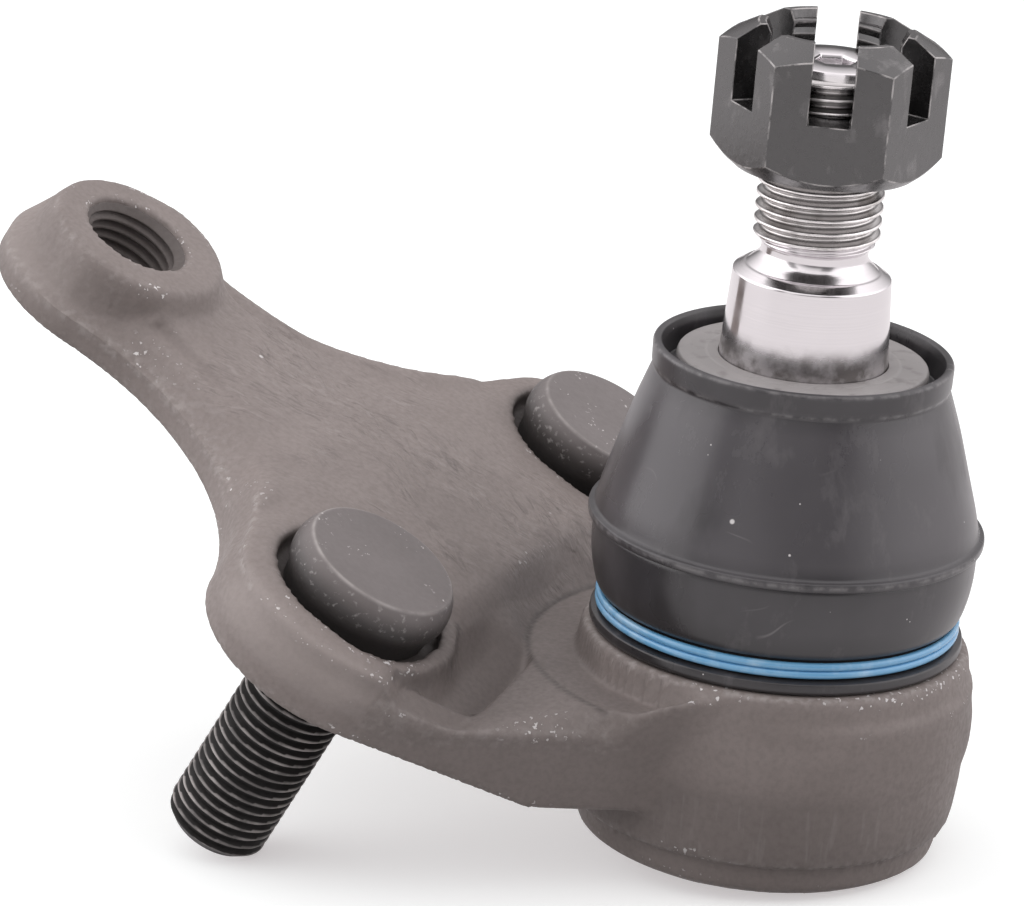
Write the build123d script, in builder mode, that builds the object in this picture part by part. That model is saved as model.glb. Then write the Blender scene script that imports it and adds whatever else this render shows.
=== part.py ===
"""Lower suspension ball joint with a forged mounting arm.

Millimetres. The origin is the centre of the ball, +Z runs up the ball stud, and the arm leaves
the housing towards -X, rising as it goes. Y is across the arm, and the forging is symmetric
about the XZ plane.

Parts of revolution are drawn as a half section on Plane.XZ, where the sketch's x is the radius
and its y is the height, and are revolved about Axis.Z. The arm, its two stud bolts and its
threaded hole are drawn on the mounting face, whose own x runs out along the arm and whose z
points up through the stud heads.
"""

import os
from math import acos, atan2, cos, degrees, hypot, radians, sin, sqrt, tan

from build123d import *

os.makedirs("parts", exist_ok=True)

# ---------------------------------------------------------------- driving dimensions
# ball and its seats
BALL_DIAMETER = 27.0
BALL_CLEARANCE = 0.05
SEAT_WALL = 2.1
SEAT_FLOOR = 1.4
SEAT_FIT = 0.05

# ball stud
NECK_DIAMETER = 14.4
FLARE_START = 21.0
FLARE_END = 29.0
SEAL_LAND_TOP = 36.4
TAPER_TOP = 46.0
TAPER_TOP_DIAMETER = 17.5
TAPER_RATIO = 8.0
SHOULDER_RISE = 2.0
RELIEF_DIAMETER = 11.8
RELIEF_LENGTH = 1.4
STUD_THREAD_DIAMETER = 14.0
STUD_THREAD_PITCH = 1.5
STUD_TIP = 70.2
STUD_TIP_CHAMFER = 1.0
STUD_HEX = 4.0
STUD_HEX_DEPTH = 3.0
COTTER_HOLE_DIAMETER = 3.2
COTTER_HOLE_HEIGHT = 62.4
THREAD_CREST_SHARE = 0.2
THREAD_DEPTH_SHARE = 0.61

# castle nut
NUT_ACROSS_FLATS = 22.0
NUT_BOTTOM = 58.1
NUT_HEIGHT = 15.7
NUT_SLOT_WIDTH = 4.6
NUT_SLOT_DEPTH = 8.4
NUT_CHAMFER_ANGLE = 30.0
NUT_BOTTOM_ANGLE = 40.0
NUT_BOTTOM_DIAMETER = 20.0
NUT_TOP_DIAMETER = 17.2
NUT_THREAD_CLEARANCE = 0.06
NUT_COUNTERSINK = 1.4
NUT_ANGLE = 21.0

# housing
HOUSING_DIAMETER = 43.2
HOUSING_SHOULDER = 4.2
HOUSING_STEP = -15.8
HOUSING_FOOT_DIAMETER = 40.8
HOUSING_BOTTOM = -20.0
HOUSING_FOOT_CHAMFER = 3.2
HOUSING_EDGE = 0.5
NECK_FLANGE_DIAMETER = 36.6
NECK_FLANGE_HEIGHT = 1.4
BOOT_GROOVE_DIAMETER = 34.6
BOOT_GROOVE_HEIGHT = 4.6
MOUTH_DIAMETER = 25.8
MOUTH_LAND = 1.2
MOUTH_ANGLE = 31.0
SEAT_TOP = 5.0

# closing plate and its spring
PLATE_THICKNESS = 2.4
PLATE_DISH = 0.8
PLATE_DISH_DIAMETER = 24.0
PLATE_OVERSIZE = 1.2
ROLLED_LIP_WIDTH = 2.0
SPRING_HEIGHT = 1.4
SPRING_THICKNESS = 0.9
SPRING_INNER_DIAMETER = 14.0
SPRING_OUTER_DIAMETER = 27.0
SPRING_FLAT = 0.8
SEAT_SPLIT = 0.3
SEAT_DRAIN_DIAMETER = 6.0

# arm, measured on the mounting face
ARM_TILT = 27.0
MOUNT_X = -41.0
MOUNT_Z = 1.0
STUD_SPACING = 61.0
TIP_REACH = 52.4
TIP_RADIUS = 13.7
LOBE_RADIUS = 14.8
WAIST_RADIUS = 30.0
WEB_THICKNESS = 6.0
LOBE_THICKNESS = 9.3
TIP_THICKNESS = 10.0
TIP_PAD_RADIUS = 10.8
TIP_PAD_FOOT_RADIUS = 13.0
TIP_PAD_FOOT = 7.0
LOBE_INSET = 0.7
CROWN_FOOT = -12.0
CROWN_START = -9.0
CROWN_END = 11.0
CROWN_TAIL = 32.0
BRIDGE_THICKNESS = 7.4
BRIDGE_INSET = 5.0
FLANK_TOP = -1.8
FLANK_REACH = 26.0
FLANK_INSET = 1.2
SKIRT_RADIUS = 5.0
ARM_EDGE = 1.2
ARM_BOTTOM = -12.0
TIP_THREAD_DIAMETER = 12.0
TIP_THREAD_PITCH = 1.25
TIP_COUNTERSINK = 0.7
LAND_STAND_OUT = 1.2
LAND_TOP = 0.5
LAND_BOTTOM = -7.6

# stud bolts
BOLT_DIAMETER = 12.0
BOLT_PITCH = 1.25
BOLT_KNURL_DIAMETER = 12.6
BOLT_KNURL_FIT = 0.03
BOLT_SEAT = 7.0
BOLT_HEAD_DIAMETER = 19.2
BOLT_HEAD_HEIGHT = 7.0
BOLT_HEAD_TOP_DIAMETER = 17.2
BOLT_HEAD_SLOPE = 2.6
BOLT_LENGTH = 33.5
BOLT_POINT = 1.0
RECESS_RADIUS = 10.4
RECESS_STRETCH = 3.0

# rubber boot and what it carries
BOOT_LIP_DIAMETER = 41.2
BOOT_LIP_TOP = 5.9
BOOT_GAP = 0.1
BOOT_WALL = 2.0
BOOT_SKIRT_DIAMETER = 43.0
BOOT_SKIRT_BOTTOM = 11.2
BOOT_SKIRT_FOOT_DIAMETER = 40.8
BOOT_FLANGE_DIAMETER = 44.2
BOOT_FLANGE_BOTTOM = 16.2
BOOT_FLANGE_THICKNESS = 1.1
BOOT_FLANGE_BLEND = 0.7
BOOT_CONE_BOTTOM_DIAMETER = 42.8
BOOT_CONE_MIDDLE = 26.7
BOOT_CONE_MIDDLE_DIAMETER = 38.1
BOOT_CONE_TOP = 34.4
BOOT_CONE_TOP_DIAMETER = 32.6
BOOT_RIM_DIAMETER = 33.3
BOOT_RIM_TOP = 37.3
BOOT_RIM_WALL = 1.1
BOOT_COLLAR_BOTTOM = 30.4
WIRE_DIAMETER = 1.0
WIRE_LAP = 0.04
TOP_RING_DIAMETER = 24.2
TOP_RING_THICKNESS = 2.0
WASHER_DIAMETER = 28.0
WASHER_THICKNESS = 1.3
WASHER_BOTTOM = 35.0
WASHER_BORE_FIT = 0.07
RIM_GAP_BOTTOM = 33.6

# ---------------------------------------------------------------- sizes that follow
ball_radius = BALL_DIAMETER / 2
socket_radius = ball_radius + BALL_CLEARANCE
bore_radius = socket_radius + SEAT_WALL + SEAT_FIT
neck_radius = NECK_DIAMETER / 2
stud_radius = STUD_THREAD_DIAMETER / 2
seal_land_radius = TAPER_TOP_DIAMETER / 2 + (TAPER_TOP - SEAL_LAND_TOP) / TAPER_RATIO / 2
thread_start = TAPER_TOP + SHOULDER_RISE + RELIEF_LENGTH
groove_top = HOUSING_SHOULDER + BOOT_GROOVE_HEIGHT
neck_top = groove_top + NECK_FLANGE_HEIGHT
seat_bottom = -(ball_radius + SEAT_FLOOR)
spring_bottom = seat_bottom - SPRING_HEIGHT
plate_bottom = spring_bottom - PLATE_THICKNESS
plate_radius = bore_radius + PLATE_OVERSIZE
nut_top = NUT_BOTTOM + NUT_HEIGHT
nut_corner_radius = NUT_ACROSS_FLATS / 2 / cos(radians(30))
half_spacing = STUD_SPACING / 2
bolt_radius = BOLT_DIAMETER / 2
tip_radius = TIP_THREAD_DIAMETER / 2
tip_minor_radius = tip_radius - TIP_THREAD_PITCH * THREAD_DEPTH_SHARE

tilt = radians(ARM_TILT)
mount_plane = Plane(
    origin=(MOUNT_X, 0, MOUNT_Z),
    x_dir=(-cos(tilt), 0, sin(tilt)),
    z_dir=(sin(tilt), 0, cos(tilt)),
)
# the flank runs to the widest part of the housing, half way up the flank
flank_middle = (FLANK_TOP + ARM_BOTTOM) / 2
flank_end = MOUNT_X * cos(tilt) + (flank_middle - MOUNT_Z) * sin(tilt)


def angle_to(start, end):
    """The direction in degrees from one point to another."""
    return degrees(atan2(end[1] - start[1], end[0] - start[0]))


def circle_meeting(first, first_distance, second, second_distance):
    """The point at two distances from two points, to the right of the way between them."""
    gap = hypot(second[0] - first[0], second[1] - first[1])
    along = (first_distance**2 - second_distance**2 + gap**2) / (2 * gap)
    across = sqrt(first_distance**2 - along**2)
    ux, uy = (second[0] - first[0]) / gap, (second[1] - first[1]) / gap
    return (first[0] + along * ux + across * uy, first[1] + along * uy - across * ux)


def thread_rings(outer_radius, pitch, start, end):
    """Half-section points of a ringed thread: one groove each pitch, flat crests between."""
    depth = pitch * THREAD_DEPTH_SHARE
    crest = pitch * THREAD_CREST_SHARE
    count = int((end - start) / pitch)
    points = []
    for index in range(count):
        base = start + index * pitch
        points += [
            (outer_radius - depth, base + crest / 4),
            (outer_radius, base + (pitch - crest) / 2),
            (outer_radius, base + (pitch + crest) / 2),
            (outer_radius - depth, base + pitch - crest / 4),
        ]
    return points


# ---------------------------------------------------------------- ball stud
taper_bottom_point = (seal_land_radius, SEAL_LAND_TOP)
ball_meets_neck = sqrt(ball_radius**2 - neck_radius**2)
stud_thread = thread_rings(stud_radius, STUD_THREAD_PITCH, thread_start, STUD_TIP - STUD_TIP_CHAMFER)

with BuildPart() as ball_stud:
    with BuildSketch(Plane.XZ):
        with BuildLine():
            ThreePointArc((0, -ball_radius), (ball_radius, 0), (neck_radius, ball_meets_neck))
            Polyline(
                (neck_radius, ball_meets_neck),
                (neck_radius, FLARE_START),
                (seal_land_radius, FLARE_END),
                taper_bottom_point,
                (TAPER_TOP_DIAMETER / 2, TAPER_TOP),
                (RELIEF_DIAMETER / 2, TAPER_TOP + SHOULDER_RISE),
                (RELIEF_DIAMETER / 2, thread_start),
                *stud_thread,
                (stud_radius, STUD_TIP - STUD_TIP_CHAMFER),
                (stud_radius - STUD_TIP_CHAMFER, STUD_TIP),
                (0, STUD_TIP),
                (0, -ball_radius),
            )
        make_face()
    revolve(axis=Axis.Z)
    with BuildSketch(Plane.XY.offset(STUD_TIP)):
        RegularPolygon(STUD_HEX / 2, 6, major_radius=False)
    extrude(amount=-STUD_HEX_DEPTH, mode=Mode.SUBTRACT)
    with BuildSketch(Plane.XZ.offset(-stud_radius)):
        with Locations((0, COTTER_HOLE_HEIGHT)):
            Circle(COTTER_HOLE_DIAMETER / 2)
    extrude(amount=2 * stud_radius, mode=Mode.SUBTRACT)

# ---------------------------------------------------------------- castle nut
chamfer_rise = tan(radians(NUT_CHAMFER_ANGLE))
nut_bottom_rise = (nut_corner_radius - NUT_BOTTOM_DIAMETER / 2) * tan(radians(NUT_BOTTOM_ANGLE))
nut_top_drop = (nut_corner_radius - NUT_TOP_DIAMETER / 2) * chamfer_rise
nut_bore_radius = stud_radius + NUT_THREAD_CLEARANCE

with BuildPart() as castle_nut:
    with BuildSketch(Plane.XY.offset(NUT_BOTTOM)):
        RegularPolygon(NUT_ACROSS_FLATS / 2, 6, major_radius=False, rotation=NUT_ANGLE)
    extrude(amount=NUT_HEIGHT)
    with BuildSketch(Plane.XZ):
        Polygon(
            (nut_bore_radius, NUT_BOTTOM + NUT_COUNTERSINK / 2),
            (nut_bore_radius + NUT_COUNTERSINK / 2, NUT_BOTTOM),
            (NUT_BOTTOM_DIAMETER / 2, NUT_BOTTOM),
            (nut_corner_radius, NUT_BOTTOM + nut_bottom_rise),
            (nut_corner_radius, nut_top - nut_top_drop),
            (NUT_TOP_DIAMETER / 2, nut_top),
            (nut_bore_radius + NUT_COUNTERSINK / 2, nut_top),
            (nut_bore_radius, nut_top - NUT_COUNTERSINK),
            align=None,
        )
    revolve(axis=Axis.Z, mode=Mode.INTERSECT)
    slot_length = 3 * nut_corner_radius
    for slot_turn in (0, 60, 120):
        with BuildSketch(Plane.XY.offset(nut_top)):
            Rectangle(NUT_SLOT_WIDTH, slot_length, rotation=NUT_ANGLE + slot_turn)
        extrude(amount=-NUT_SLOT_DEPTH, mode=Mode.SUBTRACT)

# ---------------------------------------------------------------- forged housing and arm
stud_place = (0, half_spacing)
tip_place = (TIP_REACH, 0)
waist_place = circle_meeting(
    tip_place, TIP_RADIUS + WAIST_RADIUS, stud_place, LOBE_RADIUS + WAIST_RADIUS
)
housing_side = (flank_end, HOUSING_DIAMETER / 2 - FLANK_INSET)
flank_length = hypot(stud_place[0] - housing_side[0], stud_place[1] - housing_side[1])
flank_angle = angle_to(stud_place, housing_side) - degrees(acos(LOBE_RADIUS / flank_length))


def arm_outline(inset):
    """The arm's outline on one side of its middle, drawn in by an inset."""
    tip_end = angle_to(tip_place, waist_place)
    lobe_start = angle_to(stud_place, waist_place)
    side = (housing_side[0], housing_side[1] - inset)
    CenterArc(tip_place, TIP_RADIUS - inset, 0, tip_end)
    CenterArc(waist_place, WAIST_RADIUS + inset, tip_end - 180, lobe_start - tip_end)
    lobe_sweep = (flank_angle - lobe_start) % 360
    lobe_arc = CenterArc(stud_place, LOBE_RADIUS - inset, lobe_start, lobe_sweep)
    Polyline(lobe_arc @ 1, side, (side[0], 0), (TIP_REACH + TIP_RADIUS - inset, 0))


housing_radius = HOUSING_DIAMETER / 2
foot_radius = HOUSING_FOOT_DIAMETER / 2
mouth_radius = MOUTH_DIAMETER / 2
lip_top = SEAT_TOP + MOUTH_LAND
mouth_top_radius = mouth_radius + (neck_top - lip_top) * tan(radians(MOUTH_ANGLE))
flange_radius = NECK_FLANGE_DIAMETER / 2
groove_radius = BOOT_GROOVE_DIAMETER / 2
bolt_hole_radius = BOLT_KNURL_DIAMETER / 2 + BOLT_KNURL_FIT
lip_radius = plate_radius - ROLLED_LIP_WIDTH
tip_thread_top = TIP_THICKNESS - TIP_COUNTERSINK
tip_axis = Axis(mount_plane.from_local_coords(tip_place), mount_plane.z_dir)
tip_section = Plane(origin=tip_axis.position, x_dir=(0, 1, 0), z_dir=-mount_plane.x_dir)
tip_thread = thread_rings(tip_radius, TIP_THREAD_PITCH, TIP_COUNTERSINK, tip_thread_top)

# crown that the bolt heads sit in: level over the lobes, sloping down towards the tip
with BuildPart() as crown:
    with BuildSketch(mount_plane):
        with BuildLine():
            arm_outline(LOBE_INSET)
        make_face()
        mirror(about=Plane.XZ)
    extrude(amount=LOBE_THICKNESS)
    with BuildSketch(Plane(origin=mount_plane.origin, x_dir=mount_plane.x_dir, z_dir=(0, 1, 0))):
        Polygon(
            (CROWN_FOOT, 0),
            (CROWN_TAIL, 0),
            (CROWN_TAIL, WEB_THICKNESS),
            (CROWN_END, LOBE_THICKNESS),
            (CROWN_START, LOBE_THICKNESS),
            (CROWN_FOOT, WEB_THICKNESS),
            align=None,
        )
    extrude(amount=STUD_SPACING, both=True, mode=Mode.INTERSECT)

# webs that carry the lobes into the housing, level on top
with BuildPart() as flank:
    with BuildSketch(mount_plane):
        with BuildLine():
            arm_outline(0)
        make_face()
        mirror(about=Plane.XZ)
    extrude(amount=FLANK_REACH)
    split(bisect_by=Plane.XY.offset(FLANK_TOP), keep=Keep.BOTTOM)

# blend from the level webs up to the housing wall
with BuildPart() as skirt:
    with BuildSketch(Plane.XZ):
        with BuildLine():
            skirt_foot = (housing_radius + SKIRT_RADIUS, FLANK_TOP)
            skirt_head = (housing_radius, FLANK_TOP + SKIRT_RADIUS)
            RadiusArc(skirt_foot, skirt_head, -SKIRT_RADIUS)
            Polyline(skirt_head, (0, skirt_head[1]), (0, FLANK_TOP), skirt_foot)
        make_face()
    revolve(axis=Axis.Z)
    with BuildSketch(mount_plane):
        with BuildLine():
            arm_outline(0)
        make_face()
        mirror(about=Plane.XZ)
    extrude(amount=FLANK_REACH, mode=Mode.INTERSECT)

with BuildPart() as housing_arm:
    # web of the arm
    with BuildSketch(mount_plane):
        with BuildLine():
            arm_outline(0)
        make_face()
        mirror(about=Plane.XZ)
    extrude(amount=WEB_THICKNESS)
    web_top = housing_arm.faces().sort_by(Axis(mount_plane.origin, mount_plane.z_dir))[-1]
    fillet(web_top.edges(), ARM_EDGE)
    # thicker middle
    with BuildSketch(mount_plane):
        with BuildLine():
            arm_outline(BRIDGE_INSET)
        make_face()
        mirror(about=Plane.XZ)
    extrude(amount=BRIDGE_THICKNESS)
    add(crown.part)
    add(flank.part)
    add(skirt.part)
    # pad round the threaded hole
    with BuildSketch(tip_section):
        Polygon(
            (0, 0),
            (TIP_PAD_FOOT_RADIUS, 0),
            (TIP_PAD_FOOT_RADIUS, TIP_PAD_FOOT),
            (TIP_PAD_RADIUS, TIP_THICKNESS),
            (0, TIP_THICKNESS),
            align=None,
        )
    revolve(axis=tip_axis)
    # level underside beside the housing
    split(bisect_by=Plane.XY.offset(ARM_BOTTOM), keep=Keep.TOP)
    # housing and neck
    with BuildSketch(Plane.XZ):
        Polygon(
            (0, HOUSING_BOTTOM),
            (foot_radius - HOUSING_FOOT_CHAMFER, HOUSING_BOTTOM),
            (foot_radius, HOUSING_BOTTOM + HOUSING_FOOT_CHAMFER),
            (foot_radius, HOUSING_STEP),
            (housing_radius, HOUSING_STEP),
            (housing_radius, HOUSING_SHOULDER - HOUSING_EDGE),
            (housing_radius - HOUSING_EDGE, HOUSING_SHOULDER),
            (groove_radius, HOUSING_SHOULDER),
            (groove_radius, groove_top),
            (flange_radius, groove_top),
            (flange_radius, neck_top),
            (0, neck_top),
            align=None,
        )
    revolve(axis=Axis.Z)
    # land left by the dies round the far side
    with BuildSketch(Plane.XY.offset(LAND_BOTTOM)):
        with Locations((LAND_STAND_OUT, 0)):
            Circle(housing_radius)
    extrude(amount=LAND_TOP - LAND_BOTTOM)
    # socket, with the rolled lip below and the flared mouth above
    with BuildSketch(Plane.XZ):
        Polygon(
            (0, HOUSING_BOTTOM),
            (lip_radius, HOUSING_BOTTOM),
            (lip_radius, plate_bottom),
            (plate_radius, plate_bottom),
            (plate_radius, spring_bottom),
            (bore_radius, spring_bottom),
            (bore_radius, SEAT_TOP),
            (mouth_radius, SEAT_TOP),
            (mouth_radius, lip_top),
            (mouth_top_radius, neck_top),
            (0, neck_top),
            align=None,
        )
    revolve(axis=Axis.Z, mode=Mode.SUBTRACT)
    # oblong seats for the bolt heads, and the bolt holes
    for side in (1, -1):
        with BuildSketch(mount_plane.offset(BOLT_SEAT)):
            with Locations((-RECESS_STRETCH / 2, side * half_spacing)):
                SlotCenterToCenter(RECESS_STRETCH, 2 * RECESS_RADIUS)
        extrude(amount=FLANK_REACH, mode=Mode.SUBTRACT)
        with BuildSketch(mount_plane):
            with Locations((0, side * half_spacing)):
                Circle(bolt_hole_radius)
        extrude(amount=LOBE_THICKNESS, mode=Mode.SUBTRACT)
    # threaded hole in the tip
    with BuildSketch(tip_section):
        Polygon(
            (0, 0),
            (tip_radius, 0),
            (tip_minor_radius, TIP_COUNTERSINK),
            *tip_thread,
            (tip_minor_radius, tip_thread_top),
            (tip_radius, TIP_THICKNESS),
            (0, TIP_THICKNESS),
            align=None,
        )
    revolve(axis=tip_axis, mode=Mode.SUBTRACT)

# ---------------------------------------------------------------- closing plate
closing_radius = plate_radius - SEAT_FIT
dish_radius = PLATE_DISH_DIAMETER / 2
dish_foot_radius = dish_radius - PLATE_DISH

with BuildPart() as closing_plate:
    with BuildSketch(Plane.XZ):
        Polygon(
            (0, plate_bottom - PLATE_DISH),
            (dish_foot_radius, plate_bottom - PLATE_DISH),
            (dish_radius, plate_bottom),
            (closing_radius, plate_bottom),
            (closing_radius, spring_bottom),
            (0, spring_bottom),
            align=None,
        )
    revolve(axis=Axis.Z)

# ---------------------------------------------------------------- preload spring
spring_inner = SPRING_INNER_DIAMETER / 2
spring_outer = SPRING_OUTER_DIAMETER / 2

with BuildPart() as preload_spring:
    with BuildSketch(Plane.XZ):
        Polygon(
            (spring_outer, spring_bottom),
            (spring_outer, spring_bottom + SPRING_THICKNESS),
            (spring_inner + SPRING_FLAT, seat_bottom),
            (spring_inner, seat_bottom),
            (spring_inner, seat_bottom - SPRING_THICKNESS),
            (spring_outer - SPRING_FLAT, spring_bottom),
            align=None,
        )
    revolve(axis=Axis.Z)

# ---------------------------------------------------------------- ball seats
seat_radius = socket_radius + SEAT_WALL

with BuildPart() as lower_seat:
    with BuildSketch(Plane.XY.offset(seat_bottom)):
        Circle(seat_radius)
        Circle(SEAT_DRAIN_DIAMETER / 2, mode=Mode.SUBTRACT)
    extrude(amount=-seat_bottom - SEAT_SPLIT / 2)
    Sphere(socket_radius, mode=Mode.SUBTRACT)

with BuildPart() as upper_seat:
    with BuildSketch(Plane.XY.offset(SEAT_SPLIT / 2)):
        Circle(seat_radius)
    extrude(amount=SEAT_TOP - SEAT_SPLIT / 2)
    Sphere(socket_radius, mode=Mode.SUBTRACT)

# ---------------------------------------------------------------- dust boot
boot_bottom = HOUSING_SHOULDER + BOOT_GAP
boot_bore = groove_radius + BOOT_GAP
boot_lip_radius = BOOT_LIP_DIAMETER / 2
wire_radius = WIRE_DIAMETER / 2
wire_centre_radius = boot_lip_radius - 2 * BOOT_GAP - wire_radius
ring_groove_radius = wire_centre_radius - wire_radius - BOOT_GAP
wire_rise = WIRE_DIAMETER - WIRE_LAP
lower_wire_height = BOOT_LIP_TOP + BOOT_GAP + wire_radius
ring_groove_top = lower_wire_height + wire_rise + wire_radius + BOOT_GAP
skirt_radius = BOOT_SKIRT_DIAMETER / 2
boot_flange_top = BOOT_FLANGE_BOTTOM + BOOT_FLANGE_THICKNESS
cone_bottom_radius = BOOT_CONE_BOTTOM_DIAMETER / 2
cone_middle_radius = BOOT_CONE_MIDDLE_DIAMETER / 2
cone_top_radius = BOOT_CONE_TOP_DIAMETER / 2
rim_radius = BOOT_RIM_DIAMETER / 2
rim_inner_radius = rim_radius - BOOT_RIM_WALL
top_ring_bottom = WASHER_BOTTOM - TOP_RING_THICKNESS
top_ring_radius = TOP_RING_DIAMETER / 2
washer_radius = WASHER_DIAMETER / 2
washer_bore = seal_land_radius + WASHER_BORE_FIT

with BuildPart() as dust_boot:
    with BuildSketch(Plane.XZ):
        Polygon(
            (boot_bore, boot_bottom),
            (boot_lip_radius, boot_bottom),
            (boot_lip_radius, BOOT_LIP_TOP),
            (ring_groove_radius, BOOT_LIP_TOP),
            (ring_groove_radius, ring_groove_top),
            (BOOT_SKIRT_FOOT_DIAMETER / 2, ring_groove_top),
            (skirt_radius, BOOT_SKIRT_BOTTOM),
            (skirt_radius, BOOT_FLANGE_BOTTOM - BOOT_FLANGE_BLEND),
            (BOOT_FLANGE_DIAMETER / 2, BOOT_FLANGE_BOTTOM),
            (BOOT_FLANGE_DIAMETER / 2, boot_flange_top),
            (cone_bottom_radius, boot_flange_top + BOOT_FLANGE_BLEND),
            (cone_middle_radius, BOOT_CONE_MIDDLE),
            (cone_top_radius, BOOT_CONE_TOP),
            (rim_radius, BOOT_CONE_TOP + BOOT_GAP),
            (rim_radius, BOOT_RIM_TOP),
            (rim_inner_radius, BOOT_RIM_TOP),
            (rim_inner_radius, RIM_GAP_BOTTOM),
            (washer_radius, RIM_GAP_BOTTOM),
            (washer_radius, WASHER_BOTTOM),
            (top_ring_radius + BOOT_GAP, WASHER_BOTTOM),
            (top_ring_radius + BOOT_GAP, top_ring_bottom),
            (seal_land_radius + BOOT_GAP, top_ring_bottom),
            (seal_land_radius + BOOT_GAP, BOOT_COLLAR_BOTTOM),
            (cone_top_radius - BOOT_WALL, BOOT_COLLAR_BOTTOM),
            (cone_middle_radius - BOOT_WALL, BOOT_CONE_MIDDLE),
            (cone_bottom_radius - BOOT_WALL, boot_flange_top),
            (skirt_radius - BOOT_WALL, BOOT_SKIRT_BOTTOM),
            (flange_radius + BOOT_GAP, neck_top),
            (flange_radius + BOOT_GAP, groove_top - BOOT_GAP),
            (boot_bore, groove_top - BOOT_GAP),
            align=None,
        )
    revolve(axis=Axis.Z)

# wire ring in the boot's groove: two turns of wire
with BuildPart() as boot_clamp_ring:
    with BuildSketch(Plane.XZ):
        with Locations(
            (wire_centre_radius, lower_wire_height),
            (wire_centre_radius, lower_wire_height + wire_rise),
        ):
            Circle(wire_radius)
    revolve(axis=Axis.Z)

# steel ring in the top of the boot, and the washer that lies over it
with BuildPart() as boot_top_ring:
    with BuildSketch(Plane.XY.offset(top_ring_bottom)):
        Circle(top_ring_radius)
        Circle(washer_bore, mode=Mode.SUBTRACT)
    extrude(amount=TOP_RING_THICKNESS)

with BuildPart() as boot_seal_washer:
    with BuildSketch(Plane.XY.offset(WASHER_BOTTOM)):
        Circle(washer_radius)
        Circle(washer_bore, mode=Mode.SUBTRACT)
    extrude(amount=WASHER_THICKNESS)

# ---------------------------------------------------------------- stud bolts
bolt_tip = BOLT_SEAT - BOLT_LENGTH
bolt_head_top = BOLT_SEAT + BOLT_HEAD_HEIGHT
bolt_grooves = int((BOLT_LENGTH - BOLT_SEAT - BOLT_POINT) / BOLT_PITCH)
groove_depth = BOLT_PITCH * THREAD_DEPTH_SHARE
groove_mouth = BOLT_PITCH * (1 - THREAD_CREST_SHARE) / 2
groove_floor = BOLT_PITCH * THREAD_CREST_SHARE / 4


def stud_bolt_at(side):
    """One stud bolt, pressed into the lobe on a side."""
    bolt_axis = Axis(mount_plane.from_local_coords((0, side * half_spacing, 0)), mount_plane.z_dir)
    section = Plane(origin=bolt_axis.position, x_dir=(0, 1, 0), z_dir=-mount_plane.x_dir)
    with BuildPart() as bolt:
        # shank
        with BuildSketch(mount_plane):
            with Locations((0, side * half_spacing)):
                Circle(bolt_radius)
        extrude(amount=bolt_tip)
        # knurled part and head
        with BuildSketch(section):
            Polygon(
                (0, 0),
                (BOLT_KNURL_DIAMETER / 2, 0),
                (BOLT_KNURL_DIAMETER / 2, BOLT_SEAT),
                (BOLT_HEAD_DIAMETER / 2, BOLT_SEAT),
                (BOLT_HEAD_DIAMETER / 2, bolt_head_top - BOLT_HEAD_SLOPE),
                (BOLT_HEAD_TOP_DIAMETER / 2, bolt_head_top),
                (0, bolt_head_top),
                align=None,
            )
        revolve(axis=bolt_axis)
        # thread grooves and the chamfered point
        with BuildSketch(section):
            for index in range(bolt_grooves):
                middle = bolt_tip + BOLT_POINT + (index + 0.5) * BOLT_PITCH
                Polygon(
                    (bolt_radius - groove_depth, middle - groove_floor),
                    (bolt_radius, middle - groove_mouth),
                    (bolt_radius + groove_depth, middle - groove_mouth),
                    (bolt_radius + groove_depth, middle + groove_mouth),
                    (bolt_radius, middle + groove_mouth),
                    (bolt_radius - groove_depth, middle + groove_floor),
                    align=None,
                )
            Polygon(
                (bolt_radius - BOLT_POINT, bolt_tip),
                (bolt_radius, bolt_tip + BOLT_POINT),
                (bolt_radius + groove_depth, bolt_tip),
                align=None,
            )
        revolve(axis=bolt_axis, mode=Mode.SUBTRACT)
    return bolt.part


front_stud_bolt = stud_bolt_at(-1)
rear_stud_bolt = stud_bolt_at(1)

# ---------------------------------------------------------------- export
parts = {
    "housing_arm": housing_arm.part,
    "closing_plate": closing_plate.part,
    "preload_spring": preload_spring.part,
    "lower_seat": lower_seat.part,
    "upper_seat": upper_seat.part,
    "ball_stud": ball_stud.part,
    "castle_nut": castle_nut.part,
    "dust_boot": dust_boot.part,
    "boot_clamp_ring": boot_clamp_ring.part,
    "boot_top_ring": boot_top_ring.part,
    "boot_seal_washer": boot_seal_washer.part,
    "front_stud_bolt": front_stud_bolt,
    "rear_stud_bolt": rear_stud_bolt,
}
for name, piece in parts.items():
    piece.label = name
    export_step(piece, f"parts/{name}.step")
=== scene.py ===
# %% [markdown]
# # A suspension ball joint
# The CAD model holds every piece of the real part in its true place. This script keeps that
# frame and gives each piece the surface of the real thing: a rough forging, a turned stud with
# cut threads, a rubber boot, a blue wire ring. Lengths in the formulas are millimetres, and the
# last step of every mesh turns them into Blender's metres.

import bmesh
import bpy
import numpy as np
from mathutils import Matrix


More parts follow.
